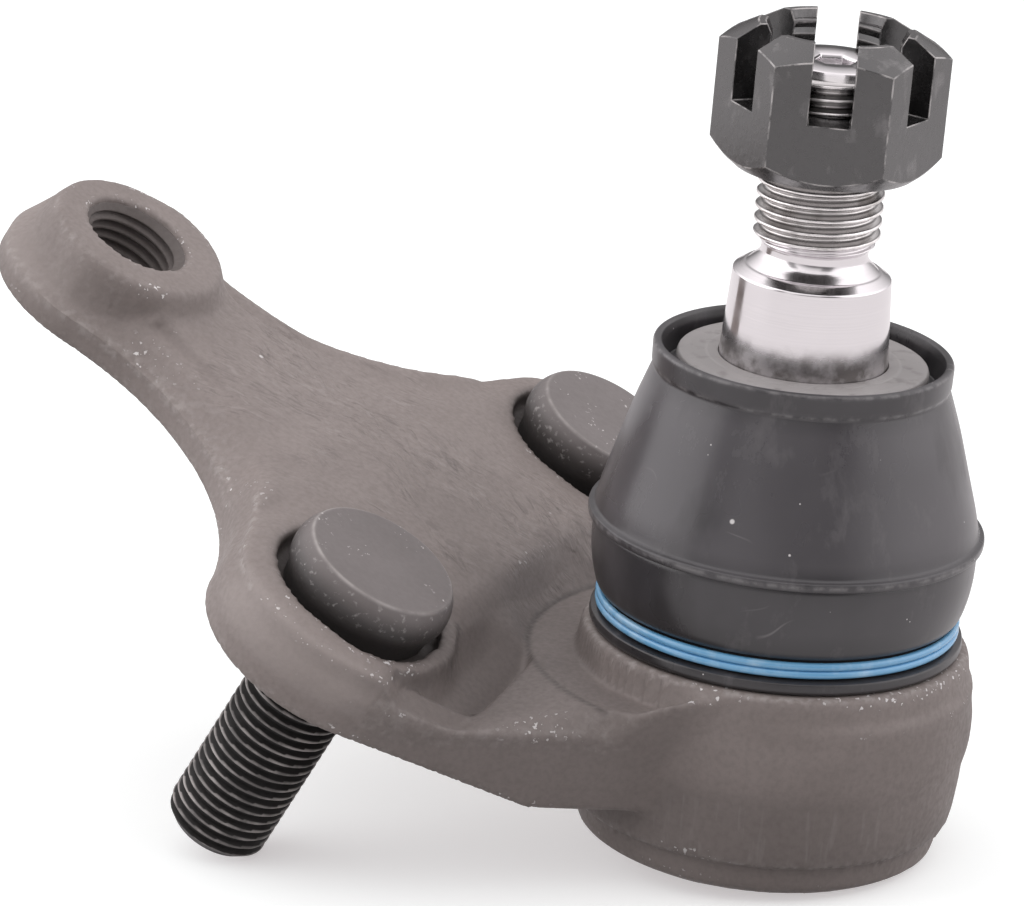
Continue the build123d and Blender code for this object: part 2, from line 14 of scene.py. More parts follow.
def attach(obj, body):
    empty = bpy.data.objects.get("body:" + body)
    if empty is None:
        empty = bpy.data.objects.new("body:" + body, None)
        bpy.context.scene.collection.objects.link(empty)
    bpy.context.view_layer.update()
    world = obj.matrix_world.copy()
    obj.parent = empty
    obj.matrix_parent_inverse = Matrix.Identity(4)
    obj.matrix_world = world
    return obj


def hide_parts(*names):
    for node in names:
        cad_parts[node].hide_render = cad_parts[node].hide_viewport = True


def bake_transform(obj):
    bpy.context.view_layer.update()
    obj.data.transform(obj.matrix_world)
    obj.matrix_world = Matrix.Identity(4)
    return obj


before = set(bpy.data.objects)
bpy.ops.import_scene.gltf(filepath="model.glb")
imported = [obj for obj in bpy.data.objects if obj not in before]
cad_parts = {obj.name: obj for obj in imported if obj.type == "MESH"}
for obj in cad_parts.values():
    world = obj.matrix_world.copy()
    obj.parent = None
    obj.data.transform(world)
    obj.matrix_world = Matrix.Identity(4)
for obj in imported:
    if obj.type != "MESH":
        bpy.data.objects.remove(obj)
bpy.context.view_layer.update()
MM = 0.001
print("nodes:", ", ".join(sorted(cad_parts)))

# %% [markdown]
# ## Shapes from profiles
# Most of this part came off a lathe or out of a round mould, so most of it is a profile carried
# round an axis. A profile is a list of corners, as on a drawing. Real corners are never sharp,
# so each one is rounded by a short curve before the profile is turned.


# %% Profile helpers
def rounded(points, setback, closed=False, steps=5):
    """Each corner P is replaced by the curve (1-t)(1-t)A + 2t(1-t)P + ttB, where A and B lie a
    setback before and after P, or 45 % of the way to the next corner if that is nearer."""
    p = np.asarray(points, float)
    s = np.broadcast_to(np.asarray(setback, float), (len(p),))[:, None]
    before, after = np.roll(p, 1, 0) - p, np.roll(p, -1, 0) - p
    long_before = np.linalg.norm(before, axis=1, keepdims=True) + 1e-9
    long_after = np.linalg.norm(after, axis=1, keepdims=True) + 1e-9
    a = p + before * np.minimum(s / long_before, 0.45)
    b = p + after * np.minimum(s / long_after, 0.45)
    t = np.linspace(0, 1, steps)[None, :, None]
    curve = (1 - t) ** 2 * a[:, None] + 2 * t * (1 - t) * p[:, None] + t**2 * b[:, None]
    if closed:
        return curve.reshape(-1, 2)
    return np.vstack([p[:1], curve[1:-1].reshape(-1, 2), p[-1:]])


def finer(points, spacing):
    """The same line with extra points, so that no two are further apart than a spacing."""
    p = np.asarray(points, float)
    along = np.append(0, np.cumsum(np.linalg.norm(np.diff(p, axis=0), axis=1)))
    extra = np.arange(0, along[-1], spacing)
    every = np.unique(np.round(np.concatenate([along, extra]), 5))
    return np.stack([np.interp(every, along, p[:, k]) for k in (0, 1)], 1)


# %% [markdown]
# A turned piece is a grid: rows of points up its profile, columns round its axis. Each square of
# the grid is a face, the last column joins the first, and the open ends are closed.


# %% Surface helpers
def grid_faces(rows, columns, close_rows=False):
    """Quads between neighbouring rows of a grid whose last column joins its first."""
    last = rows if close_rows else rows - 1
    r, c = np.meshgrid(np.arange(last), np.arange(columns), indexing="ij")
    up, on = (r + 1) % rows, (c + 1) % columns
    corners = [r * columns + c, r * columns + on, up * columns + on, up * columns + c]
    return np.stack(corners, -1).reshape(-1, 4)


def turned(radius, height, close_rows=False):
    """x = r cos(turn), y = r sin(turn), z = height, with r and height given on a grid of rows
    by turn. The ends are closed with fans to a point on the axis, or row to row."""
    rows, columns = radius.shape
    turn = np.linspace(0, 2 * np.pi, columns, endpoint=False)
    xyz = np.stack([radius * np.cos(turn), radius * np.sin(turn), height], -1).reshape(-1, 3)
    faces = grid_faces(rows, columns, close_rows).tolist()
    if not close_rows:
        c = np.arange(columns)
        on = (c + 1) % columns
        low, high = len(xyz), len(xyz) + 1
        poles = [[0, 0, height[0].mean()], [0, 0, height[-1].mean()]]
        xyz = np.vstack([xyz, poles])
        top = (rows - 1) * columns
        faces += np.stack([on, c, np.full(columns, low)], 1).tolist()
        faces += np.stack([top + c, top + on, np.full(columns, high)], 1).tolist()
    return xyz, faces


def ringed(profile, columns):
    """Radius and height on a grid, the same at every turn."""
    return [np.repeat(profile[:, k][:, None], columns, 1) for k in (0, 1)]


def placed(name, mesh):
    """An object of the mesh, in the scene."""
    obj = bpy.data.objects.new(name, mesh)
    bpy.context.scene.collection.objects.link(obj)
    return obj


def keep(mesh, domain="POINT", **attributes):
    """Keeps named numbers on the mesh, one for each point or each face."""
    for key, values in attributes.items():
        layer = mesh.attributes.new(key, "FLOAT", domain)
        layer.data.foreach_set("value", np.asarray(values, np.float32))


def piece(name, xyz, faces, body, slot, material, replaces=(), **attributes):
    """A mesh of millimetre points, smooth shaded, riding on a CAD body."""
    mesh = bpy.data.meshes.new(name)
    mesh.from_pydata((np.asarray(xyz) * MM).tolist(), [], faces)
    mesh.shade_smooth()
    mesh.materials.append(material)
    keep(mesh, **attributes)
    obj = placed(name, mesh)
    if replaces:
        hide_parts(*replaces)
    if body:
        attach(obj, body)
    print(f"{name}: {len(xyz)} points, {len(faces)} faces")
    return obj


# %% [markdown]
# ## The mounting face
# The arm rises at 27 degrees. Everything on it, the bolts, the threaded hole, the lobes, is
# easiest to describe on the arm's flat underside: a runs out along the arm, y across it and w
# up through the bolt heads.

# %% Arm coordinates
TILT = np.radians(27.0)
MOUNT = np.array([-41.0, 0.0, 1.0])
OUT = np.array([-np.cos(TILT), 0.0, np.sin(TILT)])
UP = np.array([np.sin(TILT), 0.0, np.cos(TILT)])
ACROSS = np.array([0.0, 1.0, 0.0])
HALF_SPACING = 30.5
TIP_REACH = 52.4


def on_arm(xyz):
    """(a, y, w) of points given in the part's own frame."""
    d = np.asarray(xyz) - MOUNT
    return d @ OUT, d @ ACROSS, d @ UP


def upright_on_arm(xyz, a, y):
    """Points drawn round the Z axis, stood on the mounting face at (a, y)."""
    foot = MOUNT + a * OUT + y * ACROSS
    return foot + xyz[:, :1] * ACROSS + xyz[:, 1:2] * OUT + xyz[:, 2:] * UP


# %% [markdown]
# ## Materials
# Every finish is worked out from the object's own coordinates, in metres, so a noise of scale
# 1000 has grains about one millimetre across. A small helper makes one node at a time and joins
# whatever sockets it is given. On top of it stand a few others, so that a finish reads as a list:
# a base colour, then each tint that lies over it and where.


# %% Node helpers
def node(tree, kind, inputs=None, **settings):
    """One shader node; inputs are plain values or other nodes' sockets."""
    made = tree.nodes.new(kind)
    for key, value in settings.items():
        setattr(made, key, value)
    for key, value in (inputs or {}).items():
        if isinstance(value, bpy.types.NodeSocket):
            tree.links.new(value, made.inputs[key])
        else:
            made.inputs[key].default_value = value
    return made


def maths(tree, operation, a, b):
    """One sum, such as ADD or MAXIMUM, of two numbers."""
    return node(tree, "ShaderNodeMath", {0: a, 1: b}, operation=operation).outputs[0]


def product(tree, *values):
    """Numbers multiplied together, so that masks leave only what lies in all of them."""
    made = values[0]
    for value in values[1:]:
        made = maths(tree, "MULTIPLY", made, value)
    return made


def size_of(tree, value):
    """A number without its sign."""
    return node(tree, "ShaderNodeMath", {0: value}, operation="ABSOLUTE").outputs[0]


def spread(tree, value, low, high, to_low=0.0, to_high=1.0):
    """The value's span low..high, stretched to another span and clamped."""
    inputs = {0: value, 1: low, 2: high, 3: to_low, 4: to_high}
    return node(tree, "ShaderNodeMapRange", inputs).outputs[0]


def attribute(tree, name):
    """A number stored at each point of the piece."""
    return node(tree, "ShaderNodeAttribute", attribute_name=name).outputs["Fac"]


def own_place(tree):
    """The point's place in the piece's own frame, in metres."""
    return node(tree, "ShaderNodeTexCoord").outputs["Object"]


def along(tree, where, axis):
    """How far a place lies along an axis."""
    made = node(tree, "ShaderNodeVectorMath", {0: where, 1: tuple(axis)}, operation="DOT_PRODUCT")
    return made.outputs["Value"]


# %% [markdown]
# Wear and dirt come in patches, so most masks start as noise. What is left of it above a level
# makes patches, a long grain makes strokes, a thin slice at one level makes scratches, and dots
# round scattered points make dust.


# %% Noise and marks
def noise(tree, scale, detail=3.0, stretch=(1, 1, 1), turn=(0, 0, 0), roughness=0.55):
    """Noise on the piece's own place, 0 to 1, turned and stretched first."""
    where = own_place(tree)
    if tuple(stretch) != (1, 1, 1) or tuple(turn) != (0, 0, 0):
        turned_to = node(tree, "ShaderNodeMapping", {"Vector": where, "Rotation": turn}).outputs[0]
        inputs = {"Vector": turned_to, "Scale": stretch}
        where = node(tree, "ShaderNodeMapping", inputs).outputs[0]
    inputs = {"Vector": where, "Scale": scale, "Detail": detail, "Roughness": roughness}
    return node(tree, "ShaderNodeTexNoise", inputs).outputs["Fac"]


def patches(tree, scale, detail, low, high, **how):
    """Noise stretched so that it is 0 at low and 1 at high."""
    return spread(tree, noise(tree, scale, detail, **how), low, high)


def strokes(tree, direction, scales, warp=0.0):
    """Noise whose grains are long: the place is measured along a direction, across it on the
    mounting face and up from that face, and each is scaled by its own number."""
    where = own_place(tree)
    first = np.asarray(direction) / np.linalg.norm(direction)
    axes = (first, np.cross(UP, first), UP)
    parts = {k: along(tree, where, axis * scale) for k, (axis, scale) in enumerate(zip(axes, scales))}
    place = node(tree, "ShaderNodeCombineXYZ", parts).outputs[0]
    inputs = {"Vector": place, "Scale": 1.0, "Detail": 2.0, "Distortion": warp}
    return node(tree, "ShaderNodeTexNoise", inputs).outputs["Fac"]


def specks(tree, scale, size, share):
    """Small dots: 1 within a size of a scattered point, for a share of the points."""
    cells = node(tree, "ShaderNodeTexVoronoi", {"Vector": own_place(tree), "Scale": scale})
    near = spread(tree, cells.outputs["Distance"], size, size * 0.6)
    pick = node(tree, "ShaderNodeSeparateColor", {0: cells.outputs["Color"]}).outputs[0]
    return product(tree, near, spread(tree, pick, share, share * 0.9))


def hairlines(tree, scale, width):
    """Thin wandering lines: 1 where a noise is within a width of one half."""
    away = size_of(tree, maths(tree, "SUBTRACT", noise(tree, scale, 1), 0.5))
    return product(tree, spread(tree, away, width, 0), patches(tree, 70, 2, 0.6, 0.7))


# %% [markdown]
# A finish is then a base colour with tints laid over it, a roughness, and bumps too small to be
# worth a mesh. The last helper here joins whatever a finish returns to the shader.


# %% Colours, bumps and the finish
def mixed(tree, factor, a, b):
    """Colour a where the factor is 0, b where it is 1; each is a socket or (r, g, b)."""
    ends = [end if isinstance(end, bpy.types.NodeSocket) else (*end, 1) for end in (a, b)]
    inputs = {0: factor, 6: ends[0], 7: ends[1]}
    return node(tree, "ShaderNodeMix", inputs, data_type="RGBA").outputs[2]


def tinted(tree, colour, tint, where, share=1.0):
    """The colour with a share of a tint over it where a mask is 1."""
    return mixed(tree, product(tree, where, share), colour, tint)


def ramp(tree, value, stops):
    """A warm grey that follows stops of (place, brightness) along a value from 0 to 1."""
    made = node(tree, "ShaderNodeValToRGB", {0: value})
    scale = made.color_ramp.elements
    while len(scale) < len(stops):
        scale.new(0.5)
    for element, (place, grey) in zip(scale, stops):
        element.position, element.color = place, (grey, grey * 0.975, grey * 0.965, 1)
    return made.outputs[0]


def bump(tree, height, distance_mm, strength=1.0, under=None):
    """A surface normal from a height, with a given full height in millimetres."""
    inputs = {"Height": height, "Distance": distance_mm * MM, "Strength": strength}
    if under is not None:
        inputs["Normal"] = under
    return node(tree, "ShaderNodeBump", inputs).outputs[0]


def finish(name, build):
    """A material whose Principled inputs are what build(tree) returns."""
    material = bpy.data.materials.new(name)
    material.use_nodes = True
    tree = material.node_tree
    shader = tree.nodes["Principled BSDF"]
    for key, value in build(tree).items():
        if isinstance(value, bpy.types.NodeSocket):
            tree.links.new(value, shader.inputs[key])
        else:
            shader.inputs[key].default_value = value
    print(f"{name}: {len(tree.nodes)} nodes")
    return material


# %% [markdown]
# The forging is shot blasted and phosphated: a warm grey with a fine grain. The dies dragged
# short strokes across the middle of its arm and left upright marks on the housing. Its edges are
# rubbed: thin, broken and sparkling rather than wide and pale. Six numbers stored at each point
# say where: "edge" is high where the surface turns outwards, "line" along the crisp edges, "top"
# on the arm's upper side, "wall" on the housing; one more is painted light on the lobes' outer
# slopes and the tip's side, and "shade" is painted shade in the seats, the hole, the pocket, the
# creases, low on the housing and under the boot.


# %% Forged and phosphated steel
def forging_finish(tree):
    """A warm grey, with strokes, dents, rubbed edges, chips and dust over it, then painted light and painted
    shade.
    """
    top, edge = attribute(tree, "top"), attribute(tree, "edge")
    grain = noise(tree, 1500, 3)
    colour = mixed(tree, patches(tree, 42, 4, 0.3, 0.7), (0.224, 0.193, 0.18), (0.292, 0.254, 0.239))
    colour = tinted(tree, colour, (0.13, 0.113, 0.107), spread(tree, grain, 0.4, 0.7), 0.2)
    drag = strokes(tree, -OUT + 0.35 * ACROSS, (300, 1100, 700), 1.5)
    dragged = product(tree, patches(tree, 90, 2, 0.4, 0.56), top)
    light_drag = product(tree, spread(tree, drag, 0.58, 0.66), dragged)
    dark_drag = product(tree, spread(tree, drag, 0.42, 0.35), dragged)
    colour = tinted(tree, colour, (0.42, 0.385, 0.37), light_drag, 0.22)
    colour = tinted(tree, colour, (0.1, 0.085, 0.08), dark_drag, 0.3)
    dents = strokes(tree, -OUT - 0.4 * ACROSS, (190, 620, 420), 1.6)
    dented = product(tree, patches(tree, 55, 2, 0.5, 0.62), top)
    dark_dent = product(tree, spread(tree, dents, 0.4, 0.32), dented)
    colour = tinted(tree, colour, (0.1, 0.085, 0.08), dark_dent, 0.35)
    line = product(tree, attribute(tree, "line"), patches(tree, 900, 5, 0.46, 0.62))
    colour = tinted(tree, colour, (0.47, 0.44, 0.42), line, 0.75)
    tooled = patches(tree, 1, 3, 0.56, 0.68, stretch=(900, 900, 110))
    tooled = product(tree, tooled, attribute(tree, "wall"))
    colour = tinted(tree, colour, (0.36, 0.335, 0.32), tooled, 0.35)
    rubbed = product(tree, edge, patches(tree, 1100, 4, 0.5, 0.64))
    colour = tinted(tree, colour, (0.4, 0.37, 0.355), rubbed, 0.3)
    chips = product(tree, patches(tree, 1500, 2, 0.63, 0.66), patches(tree, 80, 2, 0.52, 0.6))
    chips = product(tree, chips, spread(tree, edge, 0.1, 0.3))
    dust = maths(tree, "MAXIMUM", specks(tree, 150, 0.05, 0.2), specks(tree, 420, 0.08, 0.03))
    white = maths(tree, "MAXIMUM", chips, product(tree, dust, 0.8))
    colour = tinted(tree, colour, (0.82, 0.8, 0.79), white, 0.9)
    # painted light on the lobes' outer slopes and the tip's side
    colour = tinted(tree, colour, (0.42, 0.375, 0.355), attribute(tree, "worn"), 0.5)
    # painted shade: the seats, the tip's hole, the pocket, the creases, the low housing and the wall under
    # the boot are darkened
    colour = tinted(tree, colour, (0.02, 0.018, 0.017), attribute(tree, "shade"), 0.85)
    pressed = bump(tree, product(tree, drag, dragged), 0.45, 0.5)
    pressed = bump(tree, product(tree, dents, dented), 1.0, 0.6, pressed)
    coarse = bump(tree, noise(tree, 240, 4), 0.22, 0.5, pressed)
    return {
        "Base Color": colour,
        "Roughness": spread(tree, grain, 0.3, 0.7, 0.48, 0.66),
        "Specular IOR Level": 0.42,
        "Normal": bump(tree, grain, 0.05, 0.6, coarse),
    }


forged = finish("forged_phosphate", forging_finish)

# %% [markdown]
# The stud is turned, then ground on its taper. Steel this bright is nearly all reflection, so
# its look comes from how smooth it is: very fine rings left by the tool, at one height all the
# way round, stretch the reflections a little. The thread's flanks mirror each other, and these
# reflections are painted as bands of light and dark grey by how deep in the groove a point is.


# %% Turned steel
# painted reflections down the thread's flanks: (depth in the groove, brightness)
THREAD_REFLECTION_BANDS = (
    (0.0, 0.9), (0.07, 0.85), (0.16, 0.16), (0.3, 0.5), (0.6, 0.66), (0.78, 0.2), (0.9, 0.5), (1.0, 0.8),
)


def stud_finish(tree):
    """Bright steel with tool rings as its bump, and painted reflections as bands of grey down the thread's
    flanks.
    """
    rings = noise(tree, 1.0, 2, stretch=(12, 12, 6500))
    broad = noise(tree, 1.0, 3, stretch=(160, 160, 420))
    thread, depth, dull = (attribute(tree, name) for name in ("thread", "depth", "dull"))
    colour = mixed(tree, rings, (0.7, 0.678, 0.69), (0.82, 0.798, 0.812))
    # darker and duller towards the taper's foot, with darker blotches there
    colour = tinted(tree, colour, (0.3, 0.28, 0.275), dull, 0.35)
    foot_blotches = product(tree, patches(tree, 330, 5, 0.46, 0.6), dull)
    colour = tinted(tree, colour, (0.16, 0.145, 0.135), foot_blotches, 0.75)
    stain = patches(tree, 330, 4, 0.5, 0.7)
    flanks = tinted(tree, ramp(tree, depth, THREAD_REFLECTION_BANDS), (0.2, 0.185, 0.17), stain, 0.55)
    rough = maths(tree, "ADD", spread(tree, broad, 0.3, 0.7, 0.1, 0.2), product(tree, dull, 0.2))
    return {
        "Base Color": mixed(tree, thread, colour, flanks),
        "Metallic": 1.0,
        "Roughness": maths(tree, "ADD", rough, product(tree, thread, 0.12)),
        "Normal": bump(tree, rings, 0.0018, 0.5),
    }


bright = finish("turned_steel", stud_finish)

# %% [markdown]
# The nut and the bolts have a darker phosphate. It wears through first along crests and
# corners, and there it is a shade lighter; on the nut's corners that lighter tone is also a painted
# highlight along each edge. The thread inside the nut is drawn here too, with painted highlights on
# its crests and painted shade in its roots: how far a point is from a crest follows from its height
# and its turn about the axis.


# %% Dark phosphate on the nut
STUD_PITCH = 1.5


def from_crest(tree, where, pitch_mm):
    """0 on a thread's crest and one half in its root, from a place's height and turn about Z:
    the height in pitches less the turn in whole turns, folded back at every half."""
    x, y, z = node(tree, "ShaderNodeSeparateXYZ", {0: where}).outputs
    turn = maths(tree, "DIVIDE", maths(tree, "ARCTAN2", y, x), 2 * np.pi)
    place = maths(tree, "SUBTRACT", maths(tree, "DIVIDE", z, pitch_mm * MM), turn)
    return maths(tree, "PINGPONG", place, 0.5)


def from_z_axis(tree, where):
    """How far a place is from the Z axis."""
    flat = node(tree, "ShaderNodeVectorMath", {0: where, 1: (1, 1, 0)}, operation="MULTIPLY")
    made = node(tree, "ShaderNodeVectorMath", {0: flat.outputs[0]}, operation="LENGTH")
    return made.outputs["Value"]


def nut_finish(tree):
    """Nearly black, with rubs and worn corners over it that also carry a painted highlight, and the thread
    drawn in its bore as painted light and shade.
    """
    grain = noise(tree, 1300, 3)
    where = own_place(tree)
    wound = from_crest(tree, where, STUD_PITCH)
    in_bore = spread(tree, from_z_axis(tree, where), 0.0073, 0.0071)
    colour = mixed(tree, noise(tree, 90, 4), (0.022, 0.0205, 0.0208), (0.038, 0.0355, 0.0355))
    rubs = patches(tree, 420, 5, 0.58, 0.72, stretch=(1, 1, 0.6))
    colour = tinted(tree, colour, (0.24, 0.23, 0.23), rubs, 0.4)
    # worn corners, their lighter tone also a painted highlight along the edges
    worn = product(tree, attribute(tree, "corner"), patches(tree, 420, 5, 0.42, 0.6))
    colour = tinted(tree, colour, (0.5, 0.48, 0.47), worn, 0.85)
    colour = tinted(tree, colour, (0.008, 0.008, 0.008), attribute(tree, "shade"), 0.8)
    # painted highlight on the bore thread's crests, painted shade in its roots
    pale = product(tree, spread(tree, wound, 0.14, 0.06), in_bore)
    colour = tinted(tree, colour, (0.2, 0.19, 0.185), pale, 0.7)
    dark = product(tree, spread(tree, wound, 0.3, 0.42), in_bore)
    colour = tinted(tree, colour, (0.01, 0.01, 0.01), dark)
    cut_thread = bump(tree, product(tree, wound, in_bore), -1.6, 0.9)
    return {
        "Base Color": colour,
        "Roughness": spread(tree, grain, 0.3, 0.7, 0.2, 0.3),
        "Specular IOR Level": 1.0,
        "IOR": 1.56,
        "Normal": bump(tree, grain, 0.03, 0.5, cut_thread),
    }


nut_dark = finish("nut_phosphate", nut_finish)

# %% [markdown]
# A bolt's head is a paler grey than its thread, which is nearly black between bright crests. Three
# numbers stored at each point say where the thread, its crests and the head's side are; the
# thread's number also covers the head's lower side, to paint shade there.


# %% Dark phosphate on the bolts
def bolt_finish(tree):
    """A grey head and a nearly black thread, with pale crests, chips and speckle."""
    grain = noise(tree, 1400, 3)
    on_thread = attribute(tree, "thread")
    head = mixed(tree, noise(tree, 140, 4), (0.15, 0.134, 0.13), (0.21, 0.19, 0.186))
    thread = mixed(tree, grain, (0.012, 0.0115, 0.011), (0.03, 0.028, 0.027))
    colour = mixed(tree, on_thread, head, thread)
    uneven = spread(tree, noise(tree, 260, 4), 0.4, 0.6, 0.35, 1)
    colour = tinted(tree, colour, (0.42, 0.395, 0.38), product(tree, attribute(tree, "crest"), uneven))
    chips = product(tree, patches(tree, 1500, 2, 0.66, 0.69), patches(tree, 200, 2, 0.54, 0.6))
    chips = product(tree, chips, spread(tree, on_thread, 0.8, 0.6), 0.7)
    speckle = product(tree, patches(tree, 1500, 4, 0.58, 0.72), attribute(tree, "side"), 0.28)
    colour = tinted(tree, colour, (0.7, 0.68, 0.66), maths(tree, "MAXIMUM", chips, speckle))
    return {
        "Base Color": colour,
        "Roughness": spread(tree, grain, 0.3, 0.7, 0.4, 0.54),
        "Specular IOR Level": 0.4,
        "Normal": bump(tree, grain, 0.04, 0.5, bump(tree, noise(tree, 350, 3), 0.12, 0.4)),
    }


bolt_dark = finish("bolt_phosphate", bolt_finish)

# %% [markdown]
# Rubber from a polished mould is satin, with a bloom that handling rubs off in patches, hair
# thin scratches and dust. A scratch is where a smooth noise passes exactly through one value.


# %% Rubber
def boot_finish(tree):
    """Nearly black and satin, with a pale haze above that also paints the cone's sheen, painted shade lower
    down, stains, scuffs, scratches and dust.
    """
    bloom = noise(tree, 45, 4)
    height = node(tree, "ShaderNodeSeparateXYZ", {0: own_place(tree)}).outputs[2]
    colour = mixed(tree, spread(tree, bloom, 0.35, 0.65), (0.036, 0.034, 0.037), (0.066, 0.0625, 0.067))
    # a pale haze on the cone that also paints in the sheen it catches from above
    haze_and_sheen = product(tree, spread(tree, height, 0.0178, 0.0195), spread(tree, height, 0.0345, 0.0325))
    colour = tinted(tree, colour, (0.12, 0.113, 0.122), haze_and_sheen, 0.38)
    # painted shade: darker towards the bottom, from under the flange down to the foot
    colour = tinted(tree, colour, (0.018, 0.017, 0.018), spread(tree, height, 0.0115, 0.0085), 0.6)
    stains = patches(tree, 70, 5, 0.46, 0.34, stretch=(1, 1, 0.35))
    colour = tinted(tree, colour, (0.02, 0.019, 0.02), stains, 0.75)
    scuffs = product(tree, patches(tree, 190, 6, 0.56, 0.72, stretch=(1, 1, 0.5), roughness=0.7), 0.4)
    colour = tinted(tree, colour, (0.17, 0.162, 0.165), scuffs)
    colour = tinted(tree, colour, (0.3, 0.29, 0.29), hairlines(tree, 90, 0.006), 0.7)
    dust = maths(tree, "MAXIMUM", specks(tree, 105, 0.035, 0.5), specks(tree, 260, 0.05, 0.3))
    dust = maths(tree, "MAXIMUM", dust, specks(tree, 640, 0.07, 0.16))
    colour = tinted(tree, colour, (0.8, 0.78, 0.77), dust, 0.9)
    rubbed = product(tree, attribute(tree, "lip"), patches(tree, 700, 4, 0.4, 0.6))
    colour = tinted(tree, colour, (0.32, 0.31, 0.31), rubbed, 0.45)
    satin = spread(tree, bloom, 0.35, 0.65, 0.24, 0.36)
    return {
        "Base Color": colour,
        "Roughness": maths(tree, "ADD", satin, product(tree, scuffs, 0.4)),
        "Specular IOR Level": 0.62,
        "Normal": bump(tree, noise(tree, 900, 3), 0.02, 0.35, bump(tree, noise(tree, 60, 2), 0.25, 0.25)),
    }


rubber = finish("boot_rubber", boot_finish)

# %% [markdown]
# The wire has a glossy blue coat, rubbed pale in places. The washer is a softer grey rubber.


# %% Wire and washer
def wire_finish(tree):
    """A glossy blue, paler where it is rubbed."""
    rub = product(tree, patches(tree, 300, 4, 0.5, 0.72), 0.6)
    return {
        "Base Color": mixed(tree, rub, (0.158, 0.43, 0.7), (0.46, 0.68, 0.85)),
        "Roughness": 0.2,
        "Specular IOR Level": 0.9,
        "Normal": bump(tree, noise(tree, 1100, 2), 0.02, 0.4),
    }


def washer_finish(tree):
    """A soft grey, with darker stains and a few pale specks."""
    colour = mixed(tree, noise(tree, 180, 4), (0.28, 0.268, 0.264), (0.37, 0.355, 0.35))
    colour = tinted(tree, colour, (0.17, 0.158, 0.152), patches(tree, 500, 4, 0.55, 0.7), 0.5)
    colour = tinted(tree, colour, (0.6, 0.58, 0.56), specks(tree, 400, 0.09, 0.1))
    return {"Base Color": colour, "Roughness": 0.48, "Normal": bump(tree, noise(tree, 700, 3), 0.03, 0.5)}


blue = finish("blue_wire", wire_finish)
washer_grey = finish("washer_grey", washer_finish)

# %% [markdown]
# The inner pieces are never seen while the part is whole, but they are there when it is taken
# apart: two plastic seats, a disc spring and a pressed plate. Their CAD meshes are used as they
# are.


# %% Inner finishes
def seat_finish(tree):
    """Cream plastic, a little uneven."""
    colour = mixed(tree, noise(tree, 200, 3), (0.72, 0.69, 0.6), (0.8, 0.77, 0.69))
    return {"Base Color": colour, "Roughness": 0.38, "Normal": bump(tree, noise(tree, 900), 0.01)}


def plain_steel_finish(tree):
    """Bare steel, uneven in tone and in gloss."""
    return {
        "Base Color": mixed(tree, noise(tree, 160, 4), (0.3, 0.295, 0.29), (0.46, 0.455, 0.45)),
        "Metallic": 0.9,
        "Roughness": spread(tree, noise(tree, 900), 0.3, 0.7, 0.3, 0.5),
        "Normal": bump(tree, noise(tree, 1200), 0.01, 0.5),
    }


def plate_finish(tree):
    """A dull brown grey."""
    colour = mixed(tree, noise(tree, 120, 4), (0.14, 0.128, 0.12), (0.22, 0.205, 0.195))
    return {"Base Color": colour, "Roughness": 0.55, "Normal": bump(tree, noise(tree, 800), 0.03)}


seat_plastic = finish("seat_plastic", seat_finish)
plain_steel = finish("plain_steel", plain_steel_finish)
plate_grey = finish("plate_phosphate", plate_finish)
for name, material, slot in (
    ("lower_seat", seat_plastic, "seat_plastic"),
    ("upper_seat", seat_plastic, "seat_plastic"),
    ("preload_spring", plain_steel, "spring_steel"),
    ("boot_top_ring", plain_steel, "ring_steel"),
    ("closing_plate", plate_grey, "closing_plate"),
):
    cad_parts[name].data.materials.clear()
    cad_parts[name].data.materials.append(material)

# %% [markdown]
# ## The forging
# A forging has no sharp corner anywhere: hot steel flows round the dies' edges, and every step
# melts into the next. The CAD solid has the right places and sizes but crisp steps, so a copy of
# it is cut into small even cells and each point is then pulled towards its neighbours a number
# of times. How many times depends on where it is: often on the arm's top, hardly at all where
# the part is machined.


# %% Meshes to work on
def merged_copy(name):
    """The CAD node's mesh with its loose triangles joined."""
    work = bmesh.new()
    work.from_mesh(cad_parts[name].data)
    bmesh.ops.remove_doubles(work, verts=work.verts, dist=0.002 * MM)
    mesh = bpy.data.meshes.new(name + "_copy")
    work.to_mesh(mesh)
    work.free()
    return mesh


def after_modifiers(worker):
    """The mesh that a working object's modifiers make; the object itself goes."""
    whole = worker.evaluated_get(bpy.context.evaluated_depsgraph_get())
    mesh = bpy.data.meshes.new_from_object(whole)
    bpy.data.objects.remove(worker)
    return mesh


def points_of(mesh):
    """The mesh's points in millimetres, one row each."""
    xyz = np.empty(len(mesh.vertices) * 3)
    mesh.vertices.foreach_get("co", xyz)
    return xyz.reshape(-1, 3) / MM


def set_points(mesh, xyz):
    """Puts points in millimetres back into the mesh."""
    mesh.vertices.foreach_set("co", (xyz * MM).ravel())
    mesh.update()


def outward_of(mesh, xyz):
    """The outward direction at each point, once the points are in the mesh."""
    set_points(mesh, xyz)
    normals = np.empty(len(xyz) * 3)
    mesh.vertex_normals.foreach_get("vector", normals)
    return normals.reshape(-1, 3)


# %% [markdown]
# The tip's hole is first opened to the outside of its thread, because the thread itself is a
# piece of its own. Closed rings are then put into the copy where the real steel stands out
# further than the solid: a low wall round each bolt's seat, the housing's wall and its foot. The
# dies left the housing's wall standing out on one side, most at one turn round its axis and by an
# amount that depends on height, but never past the solid's own furthest x. The even cells that
# follow join it all into one skin.


